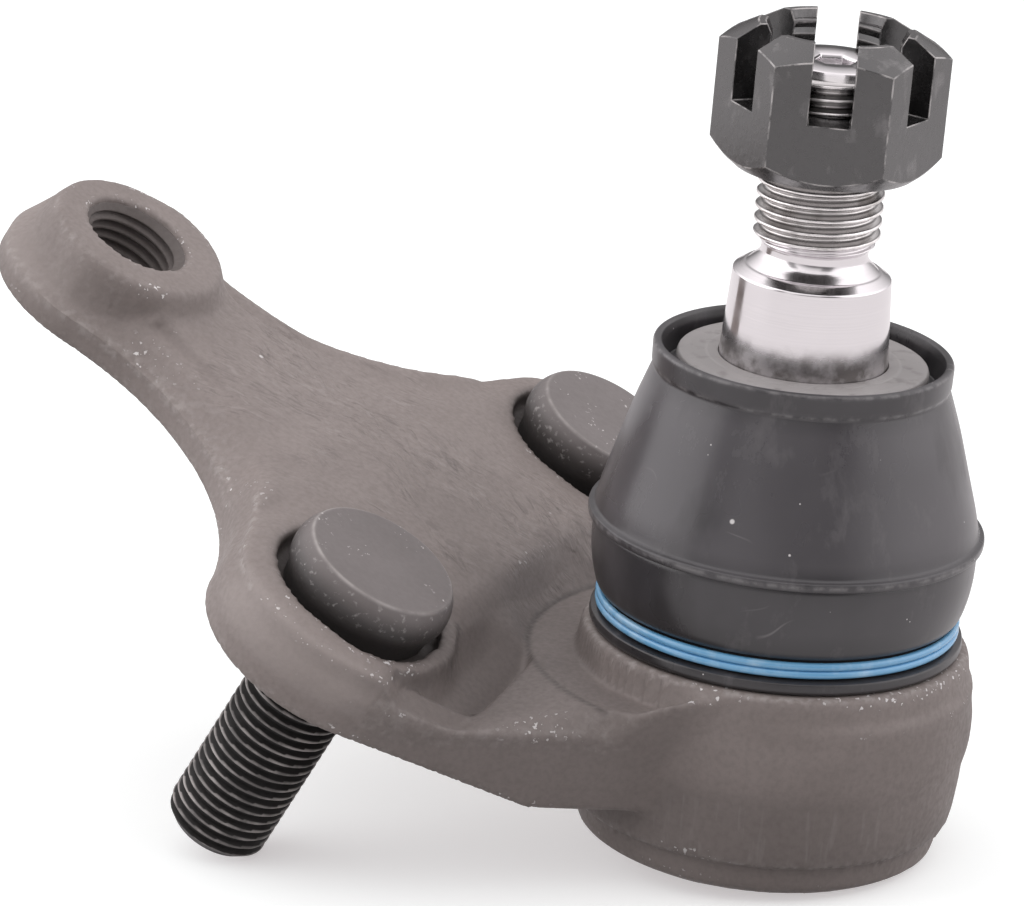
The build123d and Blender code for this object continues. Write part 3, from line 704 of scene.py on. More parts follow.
# %% Even mesh of the forging
TIP_BORE = 6.35
WALL_FOOT = -15.75
WALL_HEAD = 4.15
STANDS_OUT_AT = 25
FURTHEST_X = 22.72
RING_COLUMNS = 144
CELL = 0.54
WALL_LEVELS = [-15.85, WALL_FOOT, -14, -10.4, -8.6, -7.4, -6.1, -2.6, -1.5, 0.3, 2.2, 3.7, WALL_HEAD]
STAND_OUT = [0.0, 0.0, 0.4, 0.8, 0.85, 1.15, 1.5, 1.5, 1.0, 0.8, 0.5, 0.3, -0.2]
FOOT_LINE = [(17.0, -19.98), (18.4, -19.98), (20.1, -19.0), (20.4, -18.0), (20.4, -15.6), (17.0, -15.6)]
SEAT_LINE = [(10.35, 4.0), (12.1, 4.0), (12.3, 8.0), (11.8, 8.8), (10.5, 8.8), (10.35, 8.6)]


def add_ring(mesh, xyz, faces):
    """Puts one more closed surface into the mesh, given in millimetre points."""
    work = bmesh.new()
    work.from_mesh(mesh)
    corners = [work.verts.new(point) for point in (xyz * MM).tolist()]
    for face in faces:
        work.faces.new([corners[index] for index in face])
    work.to_mesh(mesh)
    work.free()


raw = merged_copy("housing_arm")
xyz = points_of(raw)
a, y, w = on_arm(xyz)
from_tip = np.hypot(a - TIP_REACH, y)
in_hole = (from_tip < TIP_BORE + 0.05) & (w > -0.5) & (w < 10.5)
scale = np.where(in_hole, TIP_BORE / np.maximum(from_tip, 1e-6), 1.0)
xyz += ((a - TIP_REACH) * (scale - 1))[:, None] * OUT + (y * (scale - 1))[:, None] * ACROSS
set_points(raw, xyz)
for side in (-HALF_SPACING, HALF_SPACING):
    ring_xyz, ring_faces = turned(*ringed(np.array(SEAT_LINE), 96), close_rows=True)
    add_ring(raw, upright_on_arm(ring_xyz, 0, side), ring_faces)

levels = np.append(np.arange(WALL_FOOT, 4.0, 0.45), WALL_HEAD)
turn = np.linspace(0, 2 * np.pi, RING_COLUMNS, endpoint=False)
round_side = 0.5 + 0.5 * np.cos(turn - np.radians(STANDS_OUT_AT))
reach = 21.55 + np.interp(levels, WALL_LEVELS, STAND_OUT)[:, None] * round_side
reach = np.minimum(reach, FURTHEST_X / np.maximum(np.cos(turn), 0.1))
inner = np.full((1, RING_COLUMNS), 20.2)
wall_height = np.repeat(np.concatenate([[WALL_FOOT], levels, [WALL_HEAD]])[:, None], RING_COLUMNS, 1)
add_ring(raw, *turned(np.vstack([inner, reach, inner]), wall_height, close_rows=True))
add_ring(raw, *turned(*ringed(np.array(FOOT_LINE), RING_COLUMNS), close_rows=True))
worker = placed("forging_worker", raw)
cells = worker.modifiers.new("cells", "REMESH")
cells.mode, cells.voxel_size = "VOXEL", CELL * MM
forging_mesh = after_modifiers(worker)
print("forging cells:", len(forging_mesh.polygons))

# %% [markdown]
# Every later step asks where a point is: on the arm, and how far from the housing, the bolts,
# the tip and the arm's outline. The outline is three arcs and a straight flank, and the arm is
# the same on both sides, so only one half of it is drawn.


# %% Where a point is on the forging
TIP_RADIUS = 13.7
LOBE_RADIUS = 14.8


def ease(value, low, high):
    """0 below low, 1 above high, and the smooth step 3tt - 2ttt between."""
    t = np.clip((value - low) / (high - low), 0, 1)
    return t * t * (3 - 2 * t)


def bell(value, middle, width):
    """1 at the middle, falling off on both sides as e to the minus square over a width."""
    return np.exp(-(((value - middle) / width) ** 2))


def stations(xyz):
    """Arm coordinates, and the distances from the housing's axis, a bolt's and the tip's."""
    a, y, w = on_arm(xyz)
    from_bolt = np.hypot(a, np.abs(y) - HALF_SPACING)
    return a, y, w, np.hypot(xyz[:, 0], xyz[:, 1]), from_bolt, np.hypot(a - TIP_REACH, y)


def arc(centre, radius, first, last):
    """Points of an arc, from one angle in degrees to another."""
    angle = np.radians(np.linspace(first, last, 40))
    return np.stack([centre[0] + radius * np.cos(angle), centre[1] + radius * np.sin(angle)], 1)


def distance_to(line, a, y, where):
    """How far points are in plan from a line on the arm; 99 outside a mask."""
    away = np.full(len(a), 99.0)
    plan = np.stack([a, np.abs(y)], 1)[where]
    away[where] = np.min(np.linalg.norm(plan[:, None] - line[None], axis=2), axis=1)
    return away


xyz = points_of(forging_mesh)
a, y, w, from_axis, from_bolt, from_tip = stations(xyz)
tip_arc = arc((TIP_REACH, 0), TIP_RADIUS, 0, 102.3)
waist_arc = arc((43.1, 42.7), 30.0, -77.7, -164.2)
lobe_arc = arc((0, HALF_SPACING), LOBE_RADIUS, 15.8, 125.1)
rim_line = finer(np.vstack([tip_arc, waist_arc, lobe_arc, [(-40.1, 20.4)]]), 0.8)
print("points:", len(xyz), "outline points:", len(rim_line))

# %% [markdown]
# Some forms are finer than the CAD solid. The crown round each bolt falls away towards the arm's
# rim, the tip's outer end is bevelled and drawn in a little, and along the waist the steel stands
# up in a low bead with a shallow valley behind it. The first two push points back to a cone: how
# far a point stands outside it is (fall per mm times radius, plus height) less the cone's own,
# over the root of one plus the fall squared. On the near side the waist's rim then slopes down to
# a low side wall: no point there stands higher than the wall plus a rise per mm from the outline.


# %% Crown, bevel, bead and slope
DRAWN_IN = 0.45
SIDE_WALL = 3.0
SIDE_RISE = 0.95


def trim_to_cone(xyz, outward, from_centre, w, radius, height, fall, share):
    """Moves the points that stand above a cone straight back to it, by a share."""
    above = (fall * (from_centre - radius) + w - height) / np.hypot(fall, 1)
    back = np.clip(above, 0, None) * share / np.hypot(fall, 1)
    return xyz - back[:, None] * (fall * outward + UP)


def drawn_in(a):
    """How far the arm's outer end is drawn in, at a place along it."""
    return DRAWN_IN * ease(a, 57, 66)


outward = (a[:, None] * OUT + (y - np.sign(y) * HALF_SPACING)[:, None] * ACROSS) / from_bolt[:, None]
on_lobe = ease(np.abs(y), 23, 29) * (from_bolt < 16) * (w > 5)
xyz = trim_to_cone(xyz, outward, from_bolt, w, 11.5, 9.4, 0.42, on_lobe)
outward = ((a - TIP_REACH)[:, None] * OUT + y[:, None] * ACROSS) / from_tip[:, None]
outer_end = ease((a - TIP_REACH) / from_tip, 0.0, 0.5) * (w > 0) * (from_tip > 8)
xyz = trim_to_cone(xyz, outward, from_tip, w, 10.3, 9.6, 1.9, outer_end)
xyz -= drawn_in(on_arm(xyz)[0])[:, None] * OUT

a, y, w, from_axis, from_bolt, from_tip = stations(xyz)
top_side = (w > 3.5) & (a > 8) & (from_tip > 11.5) | (from_axis > 21.6) & (a < 2) & (xyz[:, 2] > -4)
from_rim = distance_to(rim_line, a, y, top_side)
level = (w > 4.5) & (w < 8.5) & (a > 8)
along_waist = level * ease(from_bolt, 13.5, 18) * ease(from_tip, 12, 16)
bead = (0.4 * bell(from_rim, 2.2, 1.3) - 0.42 * bell(from_rim, 6.0, 2.2)) * along_waist
xyz += bead[:, None] * UP
near_side = (y < 0) & (w > 1.5) & (w < 8.6) & (a > 6) & (from_axis > 30)
from_side = distance_to(rim_line, a, y, near_side)
sloping = ease(a, 16, 24) * ease(from_bolt, 15.2, 18.5) * ease(from_tip, 10.6, 11.4) * (from_side < 9)
over = np.clip(w - (SIDE_WALL + SIDE_RISE * from_side), 0, None) * sloping
xyz -= over[:, None] * UP
low_edge = (1 - ease(w, 0.9, 2.4)) * (w > -1.5) * (a > -28.2) * (from_axis > 25)
print("bead points:", int((np.abs(bead) > 0.05).sum()), "sloped:", int((over > 0.2).sum()))

# %% [markdown]
# Between the crowns and the housing the arm's upper side is a landscape of its own, given here as
# heights. Round the housing lies a flat land that slopes gently down outside its radius. The arm's
# web comes down towards it, with a shallow pocket inside each rim, a cone where web meets land,
# and a low wall that closes each bolt's seat. The surface is the higher of the land and the lower
# of web and cone.


# %% Land, pocket and seat wall
LAND_RADIUS = 27.5
LAND_HEIGHT = 0.5
SEAT_RADIUS = 10.3
SEAT_WALL = 8.8


def height_of(w, x):
    """The z of a point on the arm from its height w on the mounting face and its x."""
    return MOUNT[2] + (w - (x - MOUNT[0]) * np.sin(TILT)) / np.cos(TILT)


normals = outward_of(forging_mesh, xyz)
a, y, w, from_axis, from_bolt, from_tip = stations(xyz)
past_land = from_axis - LAND_RADIUS
land = LAND_HEIGHT - 0.2 * np.clip(past_land, 0, None)
web = 9.2 - 0.19 * np.clip(-4 - a, 0, None)
web -= 2.3 * ease(np.abs(y), 13, 23) * ease(-a, 9.5, 12.0)
rim_height = 6.9 - 0.13 * np.clip(4.2 - from_rim, 0, None) ** 2 - 0.1 * np.clip(-10 - a, 0, None)
web += (rim_height - web) * (1 - ease(from_rim, 3.9, 4.9))
seat_wall = (1 - ease(from_bolt, 12.1, 12.6)) * (from_bolt > 10.2)
web += (SEAT_WALL - web) * seat_wall
cone = LAND_HEIGHT + 1.1 * past_land
target = np.minimum(height_of(web, xyz[:, 0]), np.where(from_axis < 32, cone, 99))
shelf = ease(xyz[:, 0], -22.9, -21.9)
target = np.where(past_land < 0, land, target + (np.maximum(target, land) - target) * shelf)
in_seat = (from_bolt < SEAT_RADIUS) & (w > 5)
moved = top_side * (normals[:, 2] > 0.1) * ease(from_axis, 21.7, 21.9) * (~in_seat)
moved = moved * ease(-a, 6.5, 9.5) * ease(from_rim, 0.5, 1.6) * (xyz[:, 2] > -3.2)
moved = moved * (1 - (1 - ease(-a, 9.0, 11.0)) * ease(np.abs(y), 30, 33)) * ease(-xyz[:, 0], -1.0, 2.5)
xyz[:, 2] += np.clip(moved * (target - xyz[:, 2]), -4, 3)
print("points moved:", int((moved > 0.5).sum()))

# %% [markdown]
# Each point now gets a softness between 0 and 1. It is low where the real part is crisp: in the
# bores, at the bolt seats' rims, at the crease round the land, at the housing's steps and along
# the pocket's edges.

# %% How soft each point is
arm = ease(from_axis, 21.7, 23.2)
inside = (from_axis < 20.9) & (xyz[:, 2] < 11) | (from_axis < 19.5)
bore = (1 - ease(from_tip, 6.7, 7.4)) + (1 - ease(from_bolt, 6.5, 6.9)) * (w > -3)
recess = (1 - ease(np.abs(from_bolt - SEAT_RADIUS), 0.5, 1.3)) * (w > 6.4)
crease = (1 - ease(np.abs(past_land), 0.5, 1.2)) * (xyz[:, 2] > -0.5) * (xyz[:, 2] < 3)
shelf_edge = (1 - ease(np.abs(xyz[:, 0] + 22.4), 0.8, 1.6)) * (np.abs(y) > 15) * (xyz[:, 2] > -4)
wall_head = (from_axis > 20.9) & (from_axis < 23.0) & (xyz[:, 2] > 0)
wall_foot = (from_axis > 19.0) & (from_axis < 23.0) & (xyz[:, 2] < -14.0)
wall_ends = wall_head | wall_foot
at_tip = 1 - ease(from_tip, 13.8, 15.5)
wall_end = (from_bolt > 11.4) & (from_bolt < 13.4) & (a < -3) & (w > 5)
pocket = top_side * (a < -8) * (a > -30) * (np.abs(y) > 14) * (from_axis > 22.5)
rim_edge = (from_rim < 1.8) & (a < -8) & (w > 2)
crisp = np.maximum.reduce([
    0.85 * recess, 0.85 * crease, 0.7 * shelf_edge, 0.85 * wall_ends, 0.75 * at_tip, 0.75 * wall_end,
    0.5 * pocket, 0.7 * rim_edge, 0.6 * (sloping * (from_side < 2.5)),
])
crisp = crisp * (1 - low_edge)
soft = np.where(inside, 0.0, 0.12 + 0.88 * arm) * (1 - np.clip(bore, 0, 1)) * (1 - crisp)
print("soft share:", round(float(soft.mean()), 3))

# %% [markdown]
# Pulling a point towards the mean of its neighbours, by half its softness, rounds every edge a
# little. Seven rounds melt the steps, and two more with a firmer hand take off the cells' own
# pattern everywhere but along the crispest edges.

# %% Pull each point towards its neighbours
edges = np.empty(len(forging_mesh.edges) * 2, np.int32)
forging_mesh.edges.foreach_get("vertices", edges)
edges = edges.reshape(-1, 2)
count = np.bincount(edges.ravel(), minlength=len(xyz))[:, None]


def neighbours_mean(values):
    """The mean of each point's neighbours along the mesh's edges."""
    columns = [
        np.bincount(edges[:, 0], values[edges[:, 1], k], len(values))
        + np.bincount(edges[:, 1], values[edges[:, 0], k], len(values))
        for k in range(values.shape[1])
    ]
    return np.stack(columns, 1) / count


keen = np.maximum.reduce([recess, wall_ends, 0.8 * at_tip, crease, 0.6 * wall_end]) * (1 - low_edge)
last = np.where(inside & ~wall_foot, 0.4, 1 - 0.65 * keen - 0.3 * (1 - arm) * (1 - wall_ends))
for times, share in ((7, soft), (2, last)):
    for _ in range(times):
        xyz += 0.5 * share[:, None] * (neighbours_mean(xyz) - xyz)


def evened(values, times=3):
    """One number for each point, replaced a few times by the mean of its neighbours'."""
    for _ in range(times):
        values = neighbours_mean(values[:, None])[:, 0]
    return values


# %% [markdown]
# Even cells leave a long sharp edge serrated, and the eye finds that at once. So the arm's lower
# edge, where the side wall meets the mounting face, is put back by a formula. A point's place in
# the corner is its distance outside the outline and its height, and u and v are both measured
# from a centre one edge width in and up. Each point keeps its direction from there and moves to
# where the sixth powers of u and v add up to that of the width, which is a tight, round corner.

# %% The arm's lower edge
EDGE = 1.2
POWER = 6
a, y, w, from_axis, from_bolt, from_tip = stations(xyz)
side_line = rim_line - np.outer(drawn_in(rim_line[:, 0]), [1, 0])
heading = np.gradient(side_line, axis=0)
heading /= np.linalg.norm(heading, axis=1, keepdims=True)
low = (w > -1) & (w < 2.4) & (a > -28.2) & (from_axis > 25)
place = np.stack([a, np.abs(y)], 1)[low]
nearest = np.argmin(np.linalg.norm(place[:, None] - side_line[None], axis=2), axis=1)
away = np.stack([heading[nearest, 1], -heading[nearest, 0]], 1)
outside = ((place - side_line[nearest]) * away).sum(1)
u, v = outside + EDGE, EDGE - w[low]
in_corner = (u > 0) & (v > 0) & (u < 2.6)
powers = np.clip(u, 0, None) ** POWER + np.clip(v, 0, None) ** POWER + 1e-9
grow = EDGE / powers ** (1 / POWER)
new_u = np.where(in_corner, u * grow, u)
new_v = np.where(in_corner, v * grow, v)
on_side = (v <= 0) & (np.abs(outside) < 1)
new_u = np.where(on_side, EDGE + outside * ease(-v, 0, EDGE), new_u)
underneath = (u <= 0) & (u > -EDGE) & (np.abs(w[low]) < 1)
new_v = np.where(underneath, EDGE - w[low] * ease(-u, 0, EDGE), new_v)
out_by = new_u - u
xyz[low] += (out_by * away[:, 0])[:, None] * OUT + (v - new_v)[:, None] * UP
xyz[low] += (out_by * away[:, 1] * np.sign(y[low]))[:, None] * ACROSS
print("points on the lower edge:", int(in_corner.sum()))

# %% [markdown]
# Hot steel is never quite flat either. A sum of a few dozen slow waves in random directions
# lifts and lowers the surface by a few hundredths of a millimetre. The arm is kept just inside
# the width of its solid. A point's bulge is how far it then stands out from its neighbours' mean,
# and where that is high, the steel is rubbed.

# %% Slow unevenness and worn edges
UNEVENNESS = 0.06
normals = outward_of(forging_mesh, xyz)
rng = np.random.default_rng(7)
direction = rng.normal(size=(36, 3))
direction /= np.linalg.norm(direction, axis=1, keepdims=True)
length = rng.uniform(4, 22, 36)
phase = rng.uniform(0, 2 * np.pi, 36)
waves = np.sin(2 * np.pi * (xyz @ direction.T) / length + phase) * length**0.5
uneven = waves.sum(1) / np.abs(waves.sum(1)).max()
xyz += (UNEVENNESS * uneven * soft)[:, None] * normals
widest = HALF_SPACING + LOBE_RADIUS - 0.02
xyz[:, 1] = np.clip(xyz[:, 1], -widest, widest)
set_points(forging_mesh, xyz)
bulge = evened(((xyz - neighbours_mean(xyz)) * normals).sum(1))
edge = np.clip((bulge - 0.009) / 0.035, 0, 1)
a, y, w, from_axis, from_bolt, from_tip = stations(xyz)
shelf_rim = sloping * (from_side > 0.2) * (from_side < 3) * (w > 2.6) * ease(-y, 8, 14)
edge = np.maximum(edge, 0.6 * shelf_rim)
web_middle = 1 - ease(np.abs(y) - np.clip(a, 0, 30) * 0.1, 13, 22)
top = ease(normals @ UP, 0.75, 0.95) * ease(a, -15, -9) * (1 - ease(a, 34, 44)) * web_middle * (w > 4)
print("edge share:", round(float((edge > 0.5).mean()), 3))

# %% [markdown]
# The rest of what the finish needs to know is also worked out from places. Shade is painted in the
# bolt seats, in the tip's hole, in the pocket, low on the housing, under the boot and in the creases.
# Crisp edges shine as thin lines, and light is painted on the lobes' outer slopes and the tip's side.


# %% Where the forging has painted shade, shining lines and painted light
def on_line(across, height, width=0.3):
    """1 on a line, given by the distances from it in two directions, fading over a width."""
    return bell(across, 0, width) * bell(height, 0, width)


x, z = xyz[:, 0], xyz[:, 2]
azimuth = np.degrees(np.arctan2(xyz[:, 1], x))
on_wall = (1 - arm) * (z < 4.4)
# painted shade: darkens the bolt seats, the tip's hole, the pocket, the low housing wall, the wall under the
# boot's lip, the crease, the shelf and the seat walls' ends
seat_dark = (from_bolt < 10.6) * (0.8 - 0.5 * ease(w, 7.0, 9.2)) * (w < 9.2) * (w > 3)
hole_dark = 0.6 * (from_tip < 6.0) * (w > 3)
pocket_dark = (0.26 + 0.08 * pocket) * ease(-a, 6, 13) * arm
wall_dark = on_wall * (0.16 + 0.24 * ease(-z, 6, 9) - 0.14 * ease(-z, 16, 17))
under_boot = ease(np.abs(azimuth), 112, 150) * ease(z, 0.1, 0.9) * (1 - ease(z, 2.9, 3.7))
under_boot = 0.75 * under_boot * (1 - ease(from_axis, 22.0, 24.0))
shade = evened(np.maximum.reduce([seat_dark, hole_dark, pocket_dark, wall_dark, under_boot]))
crease_dark = 0.8 * bell(from_axis, LAND_RADIUS - 0.1, 0.4) * (z > -0.2) * (z < 1.6) * (np.abs(azimuth) > 102)
shelf_dark = 0.8 * bell(x, -22.3, 0.45) * (np.abs(y) > 17) * (np.abs(y) < 31) * (z > -3) * (z < 0.4)
end_dark = 0.55 * ((from_bolt > 11.9) & (from_bolt < 12.9) & (a < -4) & (w > 5) & (w < 8.6))
shade = np.maximum.reduce([shade, crease_dark, shelf_dark, end_dark])
line = np.maximum.reduce([
    on_line(from_axis - 21.25, z - 4.0),
    on_line(from_axis - 21.5, z + 15.7) * (azimuth < 60),
    0.8 * on_line(from_bolt - 10.45, w - 9.4, 0.25),
    0.9 * on_line(from_rim - 0.5, w - 7.6, 0.45) * (a > 8) * (1 - sloping),
    0.6 * on_line(from_tip - 10.4, w - 9.5),
    0.45 * bell(from_side, 0.3, 0.5) * sloping * (w > 2.4) * (w < 4.2),
    0.35 * bell(from_rim, 0.5, 0.5) * (a < -10) * (w > 2) * (x < -6),
])
# painted light: the lobes' outer slopes and the tip's side face away from the light, and are lightened
worn_lobe = 0.7 * ease(from_bolt, 12.5, 14.2) * ease(np.abs(y), 38, 43) * ease(w, 2, 4) * (a > -10)
worn_tip = 0.6 * ease(from_tip, 10.5, 12.5) * ease(a, 46, 56) * ease(w, 1, 3) * (from_tip < 15)
worn = np.maximum(worn_lobe, worn_tip)
wall = on_wall * ease(-z, 8.2, 9.2) * (1 - ease(-z, 14.8, 15.6))
keep(forging_mesh, edge=edge, top=top, shade=shade, line=line, wall=wall, worn=worn)
print("dark share:", round(float((shade > 0.3).mean()), 3), "lined:", round(float((line > 0.3).mean()), 3))

# %% [markdown]
# The finished mesh stands in for the CAD node of the forging and rides with the housing.

# %% Put the forging in place
forging_mesh.shade_smooth()
forging_mesh.materials.clear()
forging_mesh.materials.append(forged)
forging = placed("forging", forging_mesh)
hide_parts("housing_arm")
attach(forging, "housing")
print("forging:", len(forging_mesh.polygons), "faces")

# %% [markdown]
# ## Threads
# A thread is a groove wound round a rod. At a turn of the rod and a height on it, how deep the
# groove is depends on one number: the height in pitches less the turn in whole turns. Where that
# number is whole there is a crest, and half way between there is a root.


# %% Thread depth
def groove(height, columns, pitch, crest=0.16, root=0.12):
    """0 on the crests, 1 in the roots and straight flanks between, on a grid of heights by turn."""
    turn = np.linspace(0, 1, columns, endpoint=False)
    place = (height / pitch - turn[None, :]) % 1.0
    from_root = np.abs(place - 0.5) * 2
    return np.clip((1 - from_root - crest) / (1 - crest - root), 0, 1)


def threaded(profile, columns, low, high, pitch, depth):
    """A turned profile with a thread between two heights: the smaller of the profile's radius
    and the thread's, so that a chamfer cuts the crests off as a real one does. With it come 1 on
    the crests and the depth in the groove."""
    radius, height = ringed(profile, columns)
    cut = groove(height, columns, pitch)
    major = profile[(profile[:, 1] > low) & (profile[:, 1] < high), 0].max()
    within = (height > low) & (height < high)
    threaded_radius = np.where(within, np.minimum(radius, major - depth * cut), radius)
    crest = np.where(within & (threaded_radius > major - 0.12 * depth), 1.0, 0.0)
    return threaded_radius, height, crest, cut


# %% [markdown]
# ## The ball stud
# From the bottom: the ball, the neck, a flare up to the land that the boot grips, the ground
# taper that pulls into the knuckle, a turned shoulder, a relief and the thread, with a small
# hexagon in the end to hold the stud while the nut is turned.

# %% Ball stud
climb = np.radians(np.linspace(-86, 57, 44))
ball = np.stack([13.5 * np.cos(climb), 13.5 * np.sin(climb)], 1)
body_line = rounded(
    [
        (7.2, 11.6), (7.2, 21.0), (9.35, 29.0), (9.35, 36.4), (8.75, 46.0), (7.6, 46.75),
        (7.35, 46.75), (6.3, 47.7), (5.9, 48.3), (5.9, 49.3), (7.0, 50.4), (7.0, 51.0),
    ],
    [0.3, 2.0, 1.0, 0.3, 0.16, 0.12, 0.12, 0.5, 0.4, 0.3, 0.2, 0.1],
)
thread_line = [(7.0, 69.2), (6.15, 70.05), (5.9, 70.2)]
stud_line = np.vstack([ball, finer(np.vstack([body_line, thread_line[:1]]), 0.1), thread_line[1:]])
stud_columns = 138
radius, height, _, cut = threaded(stud_line, stud_columns, 49.0, 70.15, STUD_PITCH, 0.92)
turn = np.linspace(0, 2 * np.pi, stud_columns, endpoint=False)
hexagon = 2.0 / np.cos((turn + np.pi / 6) % (np.pi / 3) - np.pi / 6)
# rows of the hexagonal recess: a round radius, a share of the hexagon's radius and a height
recess = [(3.9, 0, 70.2), (0, 1.16, 70.2), (0, 1.03, 70.0), (0, 1.0, 69.6), (0, 1.0, 67.3), (0, 0.5, 67.1)]
thread = ease(height, 50.2, 50.8) * (1 - ease(height, 69.2, 69.6))
dull = 1 - ease(height, 37.2, 40.6)
radius = np.vstack([radius] + [flat + share * hexagon for flat, share, _ in recess])
height = np.vstack([height] + [np.full_like(turn, z) for _, _, z in recess])
unmarked = np.zeros(len(recess) * stud_columns + 2)
marks = {"thread": thread, "depth": cut, "dull": dull}
marks = {key: np.append(values.ravel(), unmarked) for key, values in marks.items()}
piece("stud_turned", *turned(radius, height), "stud", "ground_steel", bright, ["ball_stud"], **marks)

# %% [markdown]
# ## The castle nut
# The nut is all flats, so its CAD copy already has its shape. What a real nut adds is a small
# radius along every edge, which catches the light as a thin line. The thread inside its castle
# is too fine to need a mesh: the material winds it round the bore.

# %% Castle nut
worker = placed("nut_worker", merged_copy("castle_nut"))
for _ in range(2):
    worker.data.materials.append(nut_dark)
flats = worker.modifiers.new("flats", "DECIMATE")
flats.decimate_type, flats.angle_limit = "DISSOLVE", np.radians(1.0)
soft_edge = worker.modifiers.new("edges", "BEVEL")
soft_edge.width, soft_edge.segments, soft_edge.angle_limit = 0.2 * MM, 2, np.radians(25)
soft_edge.harden_normals, soft_edge.material = False, 1
nut_mesh = after_modifiers(worker)
print("nut:", len(nut_mesh.polygons), "faces")

# %% [markdown]
# The bevel gives its own faces the second material, so they can be told from the flats: they are
# the corners that wear, and their lighter tone is both wear and a painted highlight. The slots' walls
# and the castle's inside see little light and hold oil, and they are told by where they are and which
# way they face.

# %% Which faces of the nut are edges, and which are in its shade
kind = np.empty(len(nut_mesh.polygons), np.int32)
nut_mesh.polygons.foreach_get("material_index", kind)
centre, facing = np.empty(len(kind) * 3), np.empty(len(kind) * 3)
nut_mesh.polygons.foreach_get("center", centre)
nut_mesh.polygons.foreach_get("normal", facing)
centre, facing = centre.reshape(-1, 3), facing.reshape(-1, 3)
outward = centre[:, :2] / (np.linalg.norm(centre[:, :2], axis=1, keepdims=True) + 1e-9)
faces_out = (outward * facing[:, :2]).sum(1)
in_castle = (centre[:, 2] > 0.065) & (np.abs(facing[:, 2]) < 0.3)
deep = in_castle & (faces_out < 0.5) | (facing[:, 2] > 0.9) & (centre[:, 2] < 0.067)
keep(nut_mesh, "FACE", corner=kind == 1, shade=deep & (kind == 0))
nut_mesh.polygons.foreach_set("material_index", np.zeros(len(kind), np.int32))
nut_mesh.materials.clear()
nut_mesh.materials.append(nut_dark)
nut_mesh.shade_smooth()
nut = placed("nut_body", nut_mesh)
nut.modifiers.new("normals", "WEIGHTED_NORMAL")
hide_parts("castle_nut")
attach(nut, "nut")
print("nut faces on edges:", int((kind == 1).sum()), "in shade:", int(deep.sum()))

# %% [markdown]
# ## The arm's threaded hole
# The hole in the arm's tip is tapped right through, with a small countersink at each end. Its
# thread is a lining: the threaded surface inside and a plain wall behind it in the forging.


# %% Tapped hole
BOLT_PITCH = 1.25


def lining(low, high, minor, major, outer, pitch, columns=128):
    """A tube whose inner wall is threaded from a minor to a major radius; its ends open out."""
    heights = np.arange(low, high + 0.01, 0.1)
    height = np.repeat(heights[:, None], columns, 1)
    wall = minor + (major - minor) * groove(height, columns, pitch)
    from_end = np.minimum(height - low, high - height)
    wall = np.maximum(wall, outer - 0.22 - from_end)
    back = np.full((2, columns), outer)
    ends = np.array([[heights[0]], [heights[-1]]]) * np.ones((1, columns))
    radius = np.vstack([back, wall[::-1]])
    return radius, np.vstack([ends, height[::-1]])


radius, height = lining(0.5, 9.45, 5.25, 6.0, 6.6, BOLT_PITCH)
xyz, faces = turned(radius, height, close_rows=True)
marks = {key: np.zeros(len(xyz)) for key in ("edge", "top", "line", "wall", "worn")}
# painted shade inside the tapped hole
marks["shade"] = np.full(len(xyz), 0.62)
piece("tip_thread", upright_on_arm(xyz, TIP_REACH, 0), faces, "housing", "forging", forged, **marks)

# %% [markdown]
# ## Stud bolts
# Each bolt was pressed into its hole from above, so its head sits in a shallow seat and its
# thread points down. The head is a forged disc: a flat top with a crisp rubbed edge, then a
# side that rounds over and draws in below, where shade is painted in nearly black.

# %% Stud bolts
bolt_line = rounded(
    [
        (4.9, -26.5), (6.0, -25.4), (6.0, -0.4), (6.3, 0.0), (6.3, 7.0), (8.7, 7.0), (8.9, 8.6),
        (9.6, 10.3), (9.65, 11.6), (9.35, 12.8), (8.75, 13.75), (8.5, 14.0), (2.0, 14.0),
    ],
    [0.1, 0.2, 0.1, 0.1, 0.1, 0.1, 0.4, 0.8, 0.8, 0.6, 0.35, 0.12, 0.1],
)
bolt_line = np.vstack([[(3.0, -26.5)], finer(bolt_line, 0.1)])
radius, height, crest, _ = threaded(bolt_line, 128, -26.2, -1.2, BOLT_PITCH, 0.76)
xyz, faces = turned(radius, height)
thread = np.append((1 - ease(height, -0.6, 0.4)).ravel(), [1, 0])
head_edge = 0.8 * bell(radius, 8.6, 0.2) * bell(height, 13.95, 0.25)
crest = np.append(np.maximum(crest, head_edge).ravel(), [0, 0])
side = np.append((ease(height, 9.8, 11.2) * (1 - ease(height, 13.3, 13.9))).ravel(), [0, 0])
# painted shade: the head's lower side, under its rounded edge, gets the thread's nearly black colour
shade = np.append((0.85 * (1 - ease(height, 10.8, 13.9)) * (height > 6)).ravel(), [0, 0])
thread = np.maximum(thread, shade)
for name, y in (("front_stud_bolt", -HALF_SPACING), ("rear_stud_bolt", HALF_SPACING)):
    piece(name.replace("stud_bolt", "bolt_turned"), upright_on_arm(xyz, 0, y), faces, "housing",
          "bolt_phosphate", bolt_dark, [name], thread=thread, crest=crest, side=side)

# %% [markdown]
# ## The dust boot
# On the part the boot is held still at its foot and moves with the stud at its top. Here it is
# made as two rings of rubber that meet inside the flange, each turned on its own and tied to no body.

